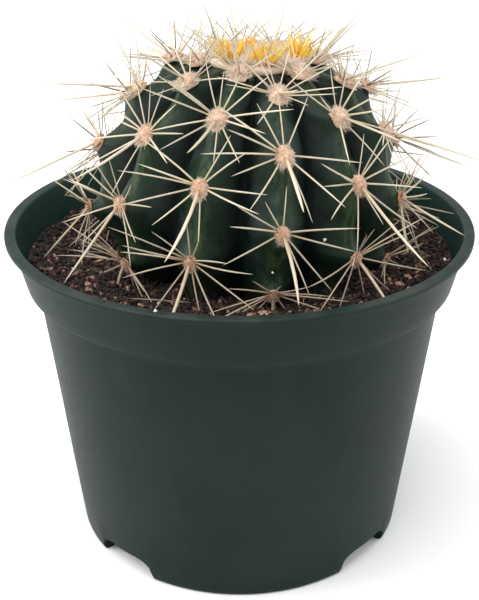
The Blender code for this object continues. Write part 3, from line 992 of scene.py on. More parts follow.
@dataclass
class NurseryPot:
    """The six-inch pot: lip, band, step, tapering wall, ring foot and four drain slots."""

    height: float = 110 * MM
    rim_radius: float = 76.2 * MM
    wall: float = 1.3 * MM
    lip_thickness: float = 1.8 * MM
    band_height: float = 17 * MM
    band_top: float = 74.0 * MM
    band_bottom: float = 70.5 * MM
    wall_top: float = 67.3 * MM
    base: float = 57.1 * MM
    foot_width: float = 3.5 * MM
    foot_height: float = 3.0 * MM
    edge: float = 0.5 * MM
    columns: int = 360
    slot_azimuths: tuple[int, ...] = (-42, 48, 138, 228)
    slot_half: int = 12
    slot_height: float = 7 * MM
    slot_floor_radius: float = 50.35 * MM
    slot_corner_deg: float = 7.0
    slot_corner: float = 4.4 * MM
    slot_fade_deg: float = 8.0
    slot_blend: float = 3 * MM
    jamb_stations: int = 14
    jamb_held: tuple[int, int] = (7, 3)
    sag: Layers = ((60 * MM, 0.25 * MM, 5),)
    sag_height: float = 60 * MM
    sharp_edge: float = math.radians(50)
    map_patch: float = 0.01
    map_sliver: float = 0.004

    def inner_radius(self, height: np.ndarray) -> np.ndarray:
        """Radius of the inside of the wall at a height above the floor's corner.

        Args:
            height: Heights in metres.

        Returns:
            Radii: straight lines between the corner, the step and the lip.
        """
        ledge = self.height - self.band_height + self.wall
        heights = [self.foot_height + self.wall, ledge - 2 * self.edge, ledge + self.edge,
                   self.height]
        radii = [self.base - self.wall, self.wall_top - self.wall, self.band_bottom - self.wall,
                 self.band_top - self.wall]
        return np.interp(height, heights, radii)

    def wall_radius(self, height: float) -> float:
        """Radius of the outside of the wall below the band."""
        ledge = self.height - self.band_height
        return self.base + (self.wall_top - self.base) * height / ledge

    def rounded(self, path: list[tuple[float, float, float]], corner_steps: int = 5) -> np.ndarray:
        """Round the corners of a line of straight runs with arcs drawn as quadratic curves.

        Args:
            path: Corner radius, height and how far the rounding reaches along both runs.
            corner_steps: Points on each rounded corner.

        Returns:
            Radius and height along the rounded line.
        """
        spots = np.array([(r, z) for r, z, _ in path])
        line = [spots[:1]]
        for before, here, after, (_, _, reach) in zip(spots, spots[1:], spots[2:], path[1:]):
            start = here + unit(before - here) * reach
            end = here + unit(after - here) * reach
            t = np.linspace(0, 1, corner_steps if reach > 0 else 1)[:, None]
            line.append((1 - t) ** 2 * start + 2 * t * (1 - t) * here + t ** 2 * end)
        line.append(spots[-1:])
        return np.concatenate(line)

    def resampled(self, line: np.ndarray, count: int) -> np.ndarray:
        """Lay a number of points evenly along a line, keeping its two ends."""
        run = np.concatenate([[0], np.cumsum(np.linalg.norm(np.diff(line, axis=0), axis=1))])
        spots = np.linspace(0, run[-1], count)
        return np.stack([np.interp(spots, run, line[:, i]) for i in range(2)], axis=1)

    def densified(self, line: np.ndarray, longest: float) -> np.ndarray:
        """Add points to a line wherever a run is longer than allowed."""
        parts = [line[:1]]
        for start, end in zip(line, line[1:]):
            count = max(1, math.ceil(float(np.linalg.norm(end - start)) / longest))
            share = (np.arange(count) + 1)[:, None] / count
            parts.append(start + share * (end - start))
        return np.concatenate(parts)

    def section(self) -> tuple[list[np.ndarray], list[int]]:
        """Return the pot's section in five runs, from the middle of the underside to the floor's.

        Returns:
            The runs (underside, outer slot run, shell, inner slot run, floor) and the number
            of points before each.
        """
        ledge = self.height - self.band_height
        under = self.height - self.lip_thickness
        foot_inside = self.base - self.foot_width
        floor = self.foot_height + self.wall
        slot_out = self.wall_radius(self.slot_height)
        slot_in = float(self.inner_radius(np.array(self.slot_height)))
        middle = [(1.5 * MM, self.foot_height + 0.5 * MM, 0), (3 * MM, self.foot_height, 0.4 * MM),
                  (self.slot_floor_radius, self.foot_height, 0)]
        outer_slot = [(self.slot_floor_radius, self.foot_height, 0),
                      (foot_inside, self.foot_height, 0.5 * MM), (foot_inside, 0, 0.6 * MM),
                      (self.base, 0, 0.8 * MM), (slot_out, self.slot_height, 0)]
        shell = [(slot_out, self.slot_height, 0), (self.wall_top, ledge, 0.5 * MM),
                 (self.band_bottom, ledge, 0.7 * MM), (self.band_top, under, 1.0 * MM),
                 (self.rim_radius, under, 0.6 * MM), (self.rim_radius, self.height, 0.7 * MM),
                 (self.band_top - self.wall, self.height, 0.9 * MM),
                 (self.band_bottom - self.wall, ledge + self.wall, 1.2 * MM),
                 (self.wall_top - self.wall, ledge + self.wall - 0.4 * MM, 1.2 * MM),
                 (slot_in, self.slot_height, 0)]
        inner_slot = [(slot_in, self.slot_height, 0), (self.base - self.wall, floor, 0.8 * MM),
                      (self.slot_floor_radius, floor, 0)]
        inside = [(self.slot_floor_radius, floor, 0), (1.5 * MM, floor, 0)]
        runs = [
            self.densified(self.rounded(middle), 6 * MM),
            self.resampled(self.densified(self.rounded(outer_slot), 1 * MM), self.jamb_stations),
            self.densified(self.rounded(shell), 3.5 * MM),
            self.resampled(self.densified(self.rounded(inner_slot), 1 * MM), self.jamb_stations),
            self.densified(self.rounded(inside), 6 * MM),
        ]
        joined = [runs[0]] + [run[1:] for run in runs[1:]]
        ends = np.cumsum([len(run) for run in joined])
        return joined, [int(end) - 1 for end in ends]

    def from_slot(self, azimuth_deg: np.ndarray) -> np.ndarray:
        """Degrees between each azimuth and the middle of the nearest slot."""
        apart = azimuth_deg[:, None] - np.array(self.slot_azimuths)[None]
        return np.abs((apart + 180) % 360 - 180).min(axis=1)

    def slot_top(self, azimuth_deg: np.ndarray) -> np.ndarray:
        """Return how far the slot's top edge lies below its full height at each column.

        The drop is a quarter round towards the slot's two ends and fades out beyond them.

        Args:
            azimuth_deg: The columns' azimuths.

        Returns:
            Drops in metres.
        """
        away = self.from_slot(azimuth_deg)
        inside = np.clip((away - self.slot_half + self.slot_corner_deg) / self.slot_corner_deg,
                         0, 1)
        drop = self.slot_corner * (1 - np.sqrt(np.clip(1 - inside ** 2, 0, 1)))
        fade = 1 - smoothstep(away, self.slot_half, self.slot_half + self.slot_fade_deg)
        return np.where(away <= self.slot_half, drop, self.slot_corner * fade)

    def build(self, finish: PotPlastic) -> bpy.types.Object:
        """Turn the section round the axis and open the drain slots.

        Each column is the section at one azimuth. Faces inside a slot are left out, and strips
        join the outer skin to the inner one along the slot's top, its floor and both sides.

        Args:
            finish: The plastic.

        Returns:
            The pot.
        """
        runs, ends = self.section()
        line = np.concatenate(runs)
        rows = len(line)
        sill_out, top_out, top_in, sill_in = ends[:4]
        azimuth_deg = np.arange(self.columns) * 360 / self.columns
        drop = self.slot_top(azimuth_deg)
        radius = np.repeat(line[None, :, 0], self.columns, axis=0)
        height = np.repeat(line[None, :, 1], self.columns, axis=0)
        near = np.exp(-(((line[:, 1] - self.slot_height) / self.slot_blend) ** 2))
        first_free, last_free = sill_out + self.jamb_held[0], sill_in - self.jamb_held[1]
        on_wall = (np.arange(rows) > first_free) & (np.arange(rows) < last_free)
        height -= drop[:, None] * (near * on_wall)[None]
        points = around(np.radians(azimuth_deg)[:, None], radius, height)
        sag = layered(points, self.sag) * smoothstep(height, 0, self.sag_height)
        points[..., :2] += unit(points[..., :2]) * sag[..., None]
        column, row = np.meshgrid(np.arange(self.columns), np.arange(rows - 1), indexing="ij")
        column, row = column.ravel(), row.ravel()
        after = (column + 1) % self.columns
        middle = azimuth_deg[column] + 180 / self.columns
        in_slot = self.from_slot(middle) < self.slot_half
        open_row = ((row >= sill_out) & (row < top_out)) | ((row >= top_in) & (row < sill_in))
        keep = ~(in_slot & open_row)
        quads = np.stack([column * rows + row, after * rows + row, after * rows + row + 1,
                          column * rows + row + 1], axis=1)[keep]
        run = np.concatenate([[0], np.cumsum(np.linalg.norm(np.diff(line, axis=0), axis=1))])
        share = run / run[-1]
        quad_map = np.stack([
            np.stack([column, column + 1, column + 1, column], axis=1) / self.columns,
            np.stack([share[row], share[row], share[row + 1], share[row + 1]], axis=1)],
            axis=-1)[keep]
        first = column[in_slot & (row == 0)] * rows
        second = after[in_slot & (row == 0)] * rows
        strips = [np.stack([first + a, second + a, second + b, first + b], axis=1)
                  for a, b in ((top_out, top_in), (sill_out, sill_in))]
        step = np.arange(top_out - sill_out)
        for centre in self.slot_azimuths:
            for side in (-self.slot_half, self.slot_half):
                base = (centre + side) % 360 * self.columns // 360 * rows
                strips.append(np.stack([base + sill_out + step, base + sill_out + step + 1,
                                        base + sill_in - step - 1, base + sill_in - step],
                                       axis=1))
        strip = np.concatenate(strips)
        patch = np.array([[0, 0], [1, 0], [1, 1], [0, 1]]) * self.map_patch
        strip_map = np.broadcast_to(patch, (len(strip), 4, 2))
        flat_points = points.reshape(-1, 3)
        low, high = len(flat_points), len(flat_points) + 1
        poles = np.array([(0, 0, self.foot_height + 0.5 * MM), (0, 0, line[-1, 1])])
        turn = np.arange(self.columns)
        nxt = (turn + 1) % self.columns
        fans = np.concatenate([
            np.stack([np.full(self.columns, low), nxt * rows, turn * rows], axis=1),
            np.stack([np.full(self.columns, high), turn * rows + rows - 1,
                      nxt * rows + rows - 1], axis=1)])
        sliver = self.map_sliver
        ends_map = [[0.0, sliver, sliver], [1.0, 1 - sliver, 1 - sliver]]
        fan_map = np.stack([np.tile(np.stack([turn + 0.5, turn + 1, turn], axis=1), (2, 1))
                            / self.columns,
                            np.repeat(ends_map, self.columns, axis=0)], axis=-1)
        quads = np.concatenate([quads, strip])
        corners = np.concatenate([quads.ravel(), fans.ravel()])
        starts = np.concatenate([4 * np.arange(len(quads)),
                                 quads.size + 3 * np.arange(len(fans))])
        mesh = mesh_of("nursery_pot", np.concatenate([flat_points, poles]), starts, corners, True)
        layer = mesh.uv_layers.new(name=BAKE_MAP)
        laid = np.concatenate([quad_map.reshape(-1, 2), strip_map.reshape(-1, 2),
                               fan_map.reshape(-1, 2)])
        layer.uv.foreach_set("vector", laid.astype(np.float32).ravel())
        maker = bmesh.new()
        maker.from_mesh(mesh)
        bmesh.ops.recalc_face_normals(maker, faces=maker.faces)
        maker.to_mesh(mesh)
        maker.free()
        mesh.set_sharp_from_angle(angle=self.sharp_edge)
        pot = add_object("nursery_pot", mesh)
        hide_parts("pot")
        dress(pot, finish.build())
        log.info("nursery_pot: %d faces", len(mesh.polygons))
        return pot


# ---- plant ----


@dataclass(frozen=True)
class PlantAxis:
    """The plant's own axis: where the ball's middle is, and how it leans to +X and nods to -Y."""

    middle: tuple[float, float, float] = (3.7 * MM, 0.5 * MM, 117.5 * MM)
    lean: float = math.radians(2.6)
    nod: float = math.radians(1.6)
    left_growth: float = 0.055
    growth_start: float = 14 * MM
    growth_end: float = 50 * MM

    def turned(self, vectors: np.ndarray) -> np.ndarray:
        """Turn directions of the plant's frame about +Y by the lean, then +X by the nod."""
        x, y, z = np.moveaxis(vectors, -1, 0)
        cos, sin = math.cos(self.lean), math.sin(self.lean)
        x, z = x * cos + z * sin, z * cos - x * sin
        cos, sin = math.cos(self.nod), math.sin(self.nod)
        return np.stack([x, y * cos - z * sin, z * cos + y * sin], axis=-1)

    def placed(self, points: np.ndarray) -> np.ndarray:
        """Move points from the plant's frame to the pot's; its left side is a little wider."""
        grown = 1 + self.left_growth * smoothstep(-points[..., :1], self.growth_start,
                                                  self.growth_end)
        scale = np.concatenate([grown, np.ones_like(grown), np.ones_like(grown)], axis=-1)
        return self.turned(points * scale) + np.array(self.middle)


@dataclass
class RibbedStem:
    """The ball: an ellipsoid with twelve ribs, V grooves and a bulge under every areole."""

    axis: PlantAxis = field(default_factory=PlantAxis)
    radius: float = 49.0 * MM
    rise: float = 50.4 * MM
    drop: float = 38.0 * MM
    dish: float = 9.0 * MM
    dish_radius: float = 14 * MM
    crown_pinch: float = 0.20
    pinch_start: float = math.radians(48)
    pinch_end: float = math.radians(69)
    ribs: int = 12
    first_rib: float = math.radians(9.2)
    twist: float = 0.045
    groove: float = 9.5 * MM
    groove_start: float = 10 * MM
    groove_full: float = 34 * MM
    notch: float = 2.9 * MM
    notch_lean: float = 0.7
    chin: float = 0.9 * MM
    chin_place: float = 0.94
    chin_width: float = 0.13
    swells: Layers = ((17 * MM, 0.55 * MM, 3), (6 * MM, 0.16 * MM, 4))
    crest_round: float = 0.22
    first_climb: float = -5.0
    climb_step: float = 14.24
    climb_loss: float = 0.915
    columns: int = 384
    rows: int = 230

    def climb_of_row(self, row: np.ndarray) -> np.ndarray:
        """Climb in radians of a half-step row; above row 0 the steps shorten."""
        row = np.asarray(row, dtype=float)
        loss = np.where(row > 0, self.climb_loss * row * row / 2, 0.0)
        return np.radians(self.first_climb + self.climb_step * row - loss)

    def row_of_climb(self, climb: np.ndarray) -> np.ndarray:
        """Half-step row at a climb, the inverse of climb_of_row."""
        over = np.degrees(climb) - self.first_climb
        root = np.sqrt(np.maximum(self.climb_step ** 2 - 2 * self.climb_loss * over, 0))
        return np.where(over > 0, (self.climb_step - root) / self.climb_loss,
                        over / self.climb_step)

    def crest(self, climb: np.ndarray) -> tuple[np.ndarray, np.ndarray]:
        """Radius and height of a crest above the ball's middle, at a climb.

        The radius is R cos(climb), drawn in a little towards the crown; the height is the
        reach times sin(climb), less a soft dish on top.

        Args:
            climb: 0 at the widest place, a quarter turn at the top.

        Returns:
            Radii and heights.
        """
        reach = np.where(climb >= 0, self.rise, self.drop)
        pinch = smoothstep(climb, self.pinch_start, self.pinch_end)
        radius = self.radius * np.cos(climb) * (1 - self.crown_pinch * pinch)
        dish = np.where(climb > 0, self.dish * np.exp(-((radius / self.dish_radius) ** 2)), 0)
        return radius, reach * np.sin(climb) - dish

    def azimuth(self, rib: np.ndarray, climb: np.ndarray) -> np.ndarray:
        """Azimuth of a rib's crest; the ribs twist slightly as they climb."""
        return self.first_rib + np.asarray(rib) * math.tau / self.ribs + self.twist * climb

    def skin(self, climb: np.ndarray, turn: np.ndarray, grown: float = 0.0
             ) -> tuple[np.ndarray, np.ndarray]:
        """Work out points of the skin from climb and turn.

        Across a rib the radius dips from the crest to the groove in a straight flank with a
        rounded crest: sqrt(t^2 + k^2) - k, where t runs from 0 on the crest to 1 in the groove.
        Along a crest it dips by the notch just above each areole and swells to a chin below it.

        Args:
            climb: Climb of each point.
            turn: Angle from the first rib's crest.
            grown: How far the skin stands off.

        Returns:
            Points in the plant's frame, and how near each is to a crest, from 0 to 1.
        """
        radius, height = self.crest(climb)
        rib = np.round(turn * self.ribs / math.tau).astype(int)
        away = 2 * np.abs(turn * self.ribs / math.tau - rib)
        bend = self.crest_round
        near = 1 - (np.hypot(away, bend) - bend) / (math.hypot(1, bend) - bend)
        past = ((self.row_of_climb(climb) - 1 + rib % 2) % 2) / 2
        fade = smoothstep(radius, self.groove_start, self.groove_full)
        dip = self.notch * fade * np.sin(math.pi * past ** self.notch_lean) ** 2 * near
        below = np.minimum(np.abs(past - self.chin_place), past + 1 - self.chin_place)
        swell = self.chin * fade * np.exp(-((below / self.chin_width) ** 2)) * near ** 3
        here = radius - self.groove * fade * (1 - near) - dip + swell
        points = around(self.first_rib + self.twist * climb + turn, here + grown, height)
        uneven = layered(points, self.swells) * fade
        points = points + unit(points * (1, 1, 0)) * uneven[..., None]
        points[..., 2] += grown * np.sin(climb)
        return points, near

    def build(self, finish: CactusSkin) -> bpy.types.Object:
        """Build the ball from the buried end to the crown.

        Args:
            finish: The skin.

        Returns:
            The stem.
        """
        climb = -math.pi / 2 + math.pi * (np.arange(self.rows) + 0.5) / self.rows
        turn = np.arange(self.columns) * math.tau / self.columns
        points, near = self.skin(*np.broadcast_arrays(climb[:, None], turn[None]))
        ends = np.array([[0, 0, -self.drop], [0, 0, self.rise - self.dish]])
        ends = self.axis.placed(ends)
        skins = Skins(self.axis.placed(points)[None], ends[:1], ends[1:],
                      {"crest": near[None]}, 1)
        stem = make_piece("ribbed_stem", [skins])
        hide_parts("cactus_stem")
        dress(stem, finish.build())
        return stem


@dataclass(frozen=True)
class SpinePlan:
    """One spine of a cluster, before it is varied.

    Attributes:
        turn: Degrees from straight up the rib, towards the right seen from outside.
        rise: Degrees off the skin.
        length: Millimetres.
        width: Millimetres.
        central: Whether it is one of the stout inner spines, which are never missing.
    """

    turn: float
    rise: float
    length: float
    width: float
    central: bool = False


CLUSTER = (
    SpinePlan(-31, 26, 15.5, 0.50), SpinePlan(-4, 22, 14.0, 0.44), SpinePlan(25, 26, 16.0, 0.50),
    SpinePlan(52, 25, 19.0, 0.58), SpinePlan(-60, 21, 20.5, 0.60), SpinePlan(-87, 14, 22.0, 0.62),
    SpinePlan(82, 15, 21.5, 0.62), SpinePlan(107, 18, 20.5, 0.62), SpinePlan(-117, 17, 21.0, 0.60),
    SpinePlan(136, 16, 20.5, 0.60), SpinePlan(-146, 15, 20.0, 0.56), SpinePlan(164, 14, 17.5, 0.48),
    SpinePlan(-75, 33, 20.0, 0.66), SpinePlan(180, 42, 28.5, 1.10, True),
)


@dataclass
class AreoleRows:
    """Every areole of the ribs, with its wool pad and its star of spines.

    A pad's half sizes are that of the oldest, what is added towards the crown, and what more
    the newest row has. Spreads are those of the random draws: degrees, or shares of a length.
    """

    stem: RibbedStem
    pot: NurseryPot
    soil: "SoilBed"
    seed: int = 12
    stations: tuple[float, ...] = (0.0, 0.12, 0.35, 0.58, 0.76, 0.88, 0.96, 0.99)
    sides: int = 6
    taper: float = 0.30
    flatness: float = 0.74
    clearance: float = 1.2 * MM
    lift: float = 0.16
    shorten: float = 0.94
    tries: int = 9
    turn_spread: float = 4.6
    rise_spread: float = 4.5
    length_spread: float = 0.09
    bow_spread: float = 0.012
    young_rise: float = 16.0
    root_ring: float = 1.15 * MM
    missing: float = 0.12
    shortest: float = 3 * MM
    pad_wide: tuple[float, float, float] = (1.75 * MM, 1.25 * MM, 0.5 * MM)
    pad_tall: tuple[float, float, float] = (2.25 * MM, 1.40 * MM, 0.3 * MM)
    pad_thick: tuple[float, float, float] = (1.5 * MM, 1.0 * MM, 0.0)
    pad_drop: float = 0.5 * MM
    pad_sides: int = 16
    pad_rough: float = 0.10
    hairs: int = 560
    hair_width: float = 0.105 * MM
    hair_stations: tuple[float, ...] = (0.0, 0.55, 0.85)

    def rows_of(self, rib: int) -> list[int]:
        """Half-step rows of a rib's areoles; odd ribs have one more, half in the soil."""
        return [-1, 1, 3, 5] if rib % 2 == 0 else [-2, 0, 2, 4, 6]

    def frames(self, rib: int) -> tuple[np.ndarray, np.ndarray]:
        """Work out where a rib's areoles stand.

        Args:
            rib: The rib's number, from 0.

        Returns:
            Middles, and frames as areole, direction (side, up, out), xyz, in the pot's frame.
        """
        rows = np.array(self.rows_of(rib))
        climb = self.stem.climb_of_row(rows)
        azimuth = self.stem.azimuth(rib, climb)
        radius, height = self.stem.crest(climb)
        further, higher = self.stem.crest(climb + 0.01)
        up = unit(around(azimuth, further - radius, higher - height))
        side = around(azimuth + math.pi / 2, np.ones(len(rows)), np.zeros(len(rows)))
        out = np.cross(side, up)
        middle = around(azimuth, radius, height) + GAP * out
        axis = self.stem.axis
        return axis.placed(middle), axis.turned(np.stack([side, up, out], axis=1))

    def cleared(self, start: np.ndarray, run: np.ndarray, out: np.ndarray,
                length: np.ndarray) -> tuple[np.ndarray, np.ndarray]:
        """Lift spines off the pot's wall, then stop them just inside the soil.

        Args:
            start: Where each spine starts.
            run: Its direction.
            out: Straight off the skin.
            length: Its length.

        Returns:
            New directions and lengths.
        """
        share = np.linspace(0.1, 1, 19)
        for _ in range(self.tries):
            path = start[:, None] + run[:, None] * (length[:, None] * share)[..., None]
            reach = np.linalg.norm(path[..., :2], axis=-1)
            inside = self.pot.inner_radius(path[..., 2]) - self.clearance
            low = path[..., 2] < self.pot.height + self.clearance
            hits = ((reach > inside) & low).any(axis=1)
            run = np.where(hits[:, None], unit(run + self.lift * out), run)
            length = np.where(hits, length * self.shorten, length)
        path = start[:, None] + run[:, None] * (length[:, None] * share)[..., None]
        ground = self.soil.height_at(path[..., 0], path[..., 1]) - self.clearance
        below = path[..., 2] < ground
        first = np.where(below.any(axis=1), below.argmax(axis=1), len(share) - 1)
        return run, length * share[first]

    def spines_of(self, rib: int) -> Skins:
        """Grow the spines of one rib.

        Args:
            rib: The rib's number, from 0.

        Returns:
            The spines as closed skins with their colour values.
        """
        rng = np.random.default_rng(self.seed + rib)
        middles, frames = self.frames(rib)
        rows = self.rows_of(rib)
        stars = []
        plan = np.array([(p.turn, p.rise, p.length, p.width, p.central) for p in CLUSTER])
        count = len(plan)
        for row, middle, (side, up, out) in zip(rows, middles, frames):
            turn, rise, reach, thick, central = plan.T
            steady = np.where(central, 0.7, 1)
            turn = np.radians(turn + rng.normal(0, self.turn_spread, count) * steady)
            young = smoothstep(np.array(float(row)), 3.0, 7.0)
            old = 1 - float(smoothstep(np.array(float(row)), -2.0, 3.0))
            rise = rise + rng.normal(0, self.rise_spread, count) + self.young_rise * young
            rise = np.radians(rise)
            reach = reach * MM * rng.normal(1, self.length_spread, count)
            reach = reach * (1 - (0.22 + 0.22 * central) * young)
            thick = thick * (1 - (0.18 + 0.30 * central) * young)
            level = np.sin(turn)[:, None] * side + np.cos(turn)[:, None] * up
            aim = np.cos(rise)[:, None] * level + np.sin(rise)[:, None] * out
            root = middle + level * self.root_ring * np.where(central, 0.35, 1)[:, None]
            root = root + out * np.where(central, 1.0, 0.5)[:, None] * MM
            keep = (rng.uniform(0, 1, count) > self.missing) | (central > 0)
            if row == self.rows_of(1)[0]:
                keep &= np.cos(turn) > -0.75
            tones = rng.uniform(0, 1, count)
            bows = rng.normal(0, self.bow_spread, (count, 3)) * reach[:, None]
            made = (root, aim, np.broadcast_to(out, aim.shape), reach, thick * MM, tones,
                    np.full(count, old), bows)
            stars.append([part[keep] for part in made])
        start, run, flat, length, width, tone, age, bow = map(np.concatenate, zip(*stars))
        run, length = self.cleared(start, run, flat, length)
        keep = length > self.shortest
        start, run, flat, length, width, tone, age, bow = (
            part[keep] for part in (start, run, flat, length, width, tone, age, bow))
        tip = start + run * length[:, None]
        stations = np.array(self.stations)
        rings = grow_needles(start, tip, flat, width, bow, stations, self.sides, self.taper,
                             self.flatness)
        along = np.broadcast_to(stations[None, :, None], rings.shape[:3])
        return Skins(rings, start - 0.2 * MM * run, tip,
                     {"along": along, "tone": tone, "age": age}, len(start))

    def pads_of(self, rib: int) -> tuple[Skins, Skins]:
        """Make the wool pads of one rib: a low dome each, and the hair that stands on it.

        The dome is half an ellipsoid, taller than wide. Hairs start at random over it, lean
        away from its middle and hang over its lower edge.

        Args:
            rib: The rib's number, from 0.

        Returns:
            The domes and the hairs, both with their colour values.
        """
        rng = np.random.default_rng(100 + self.seed + rib)
        middles, frames = self.frames(rib)
        rows = np.array(self.rows_of(rib), dtype=float)
        young = smoothstep(rows, -1.0, 6.0)
        newest = smoothstep(rows, 5.0, 6.0)
        wide, tall, thick = (oldest + more * young + newer * newest for oldest, more, newer
                             in (self.pad_wide, self.pad_tall, self.pad_thick))
        side, up, out = (frames[:, i] for i in range(3))
        polar = np.radians([96, 78, 58, 38, 18])
        turn = np.arange(self.pad_sides) / self.pad_sides * math.tau
        swell = 1 + self.pad_rough * rng.normal(0, 1, (len(middles), len(polar), len(turn)))
        ring = np.sin(polar)[None, :, None] * swell
        middle = middles - up * self.pad_drop
        dome = (middle[:, None, None]
                + (ring * np.sin(turn))[..., None] * (side * wide[:, None])[:, None, None]
                + (ring * np.cos(turn))[..., None] * (up * tall[:, None])[:, None, None]
                + (np.cos(polar)[None, :, None] * np.ones_like(ring))[..., None]
                * (out * thick[:, None])[:, None, None])
        domes = Skins(dome, middle - out * (0.3 * MM), middle + out * thick[:, None],
                      {"along": np.broadcast_to(0.15 * np.cos(polar)[None, :, None],
                                                dome.shape[:3]),
                       "tone": 0.25 + 0.8 * young})
        owner = np.repeat(np.arange(len(middles)), self.hairs)
        count = len(owner)
        reach = np.sqrt(rng.uniform(0.02, 1, count))
        angle = rng.uniform(0, math.tau, count)
        level_x, level_y = reach * np.sin(angle), reach * np.cos(angle)
        root = (middle[owner] + side[owner] * (wide[owner] * level_x)[:, None]
                + up[owner] * (tall[owner] * level_y)[:, None]
                + out[owner] * (thick[owner] * np.sqrt(1.02 - reach ** 2))[:, None])
        lean = (side[owner] * (level_x + rng.normal(0, 0.28, count))[:, None]
                + up[owner] * (level_y - 0.6 * reach + rng.normal(0, 0.28, count))[:, None]
                + out[owner] * (1.05 - 0.95 * reach + 0.2 * rng.normal(0, 1, count))[:, None])
        hang = smoothstep(-level_y, 0.0, 0.9)
        long = (0.4 + 0.3 * reach ** 2 + 0.5 * hang) * rng.uniform(0.5, 1.3, count)
        long = long * (1 + 0.8 * young[owner] + 0.5 * newest[owner]) * MM
        tip = root + unit(lean) * long[:, None]
        bow = -up[owner] * (0.10 * long)[:, None]
        stations = np.array(self.hair_stations)
        rings = grow_needles(root - unit(lean) * (0.25 * MM), tip, out[owner],
                             np.full(count, self.hair_width), bow, stations, 3, 0.6, 1.0)
        tone = np.clip(0.3 + 0.45 * reach + 0.6 * young[owner] + rng.normal(0, 0.16, count), 0, 1)
        hairs = Skins(rings, root - unit(lean) * (0.3 * MM), tip,
                      {"along": np.broadcast_to(stations[None, :, None], rings.shape[:3]),
                       "tone": tone})
        return domes, hairs

    def build(self, spine: SpineHorn, wool: WoolFelt) -> None:
        """Build the spines and the wool of every rib.

        Args:
            spine: Finish of the spines.
            wool: Finish of the pads.
        """
        straw, felt = spine.build(), wool.build()
        for rib in range(self.stem.ribs):
            label = f"rib_{rib + 1:02d}"
            spines = make_piece(f"{label}_spines", [self.spines_of(rib)])
            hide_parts(*(f"areole_rib{rib + 1:02d}_{n}" for n in range(1, 5)))
            dress(spines, straw)
            pads = make_piece(f"{label}_wool", list(self.pads_of(rib)))
            dress(pads, felt)


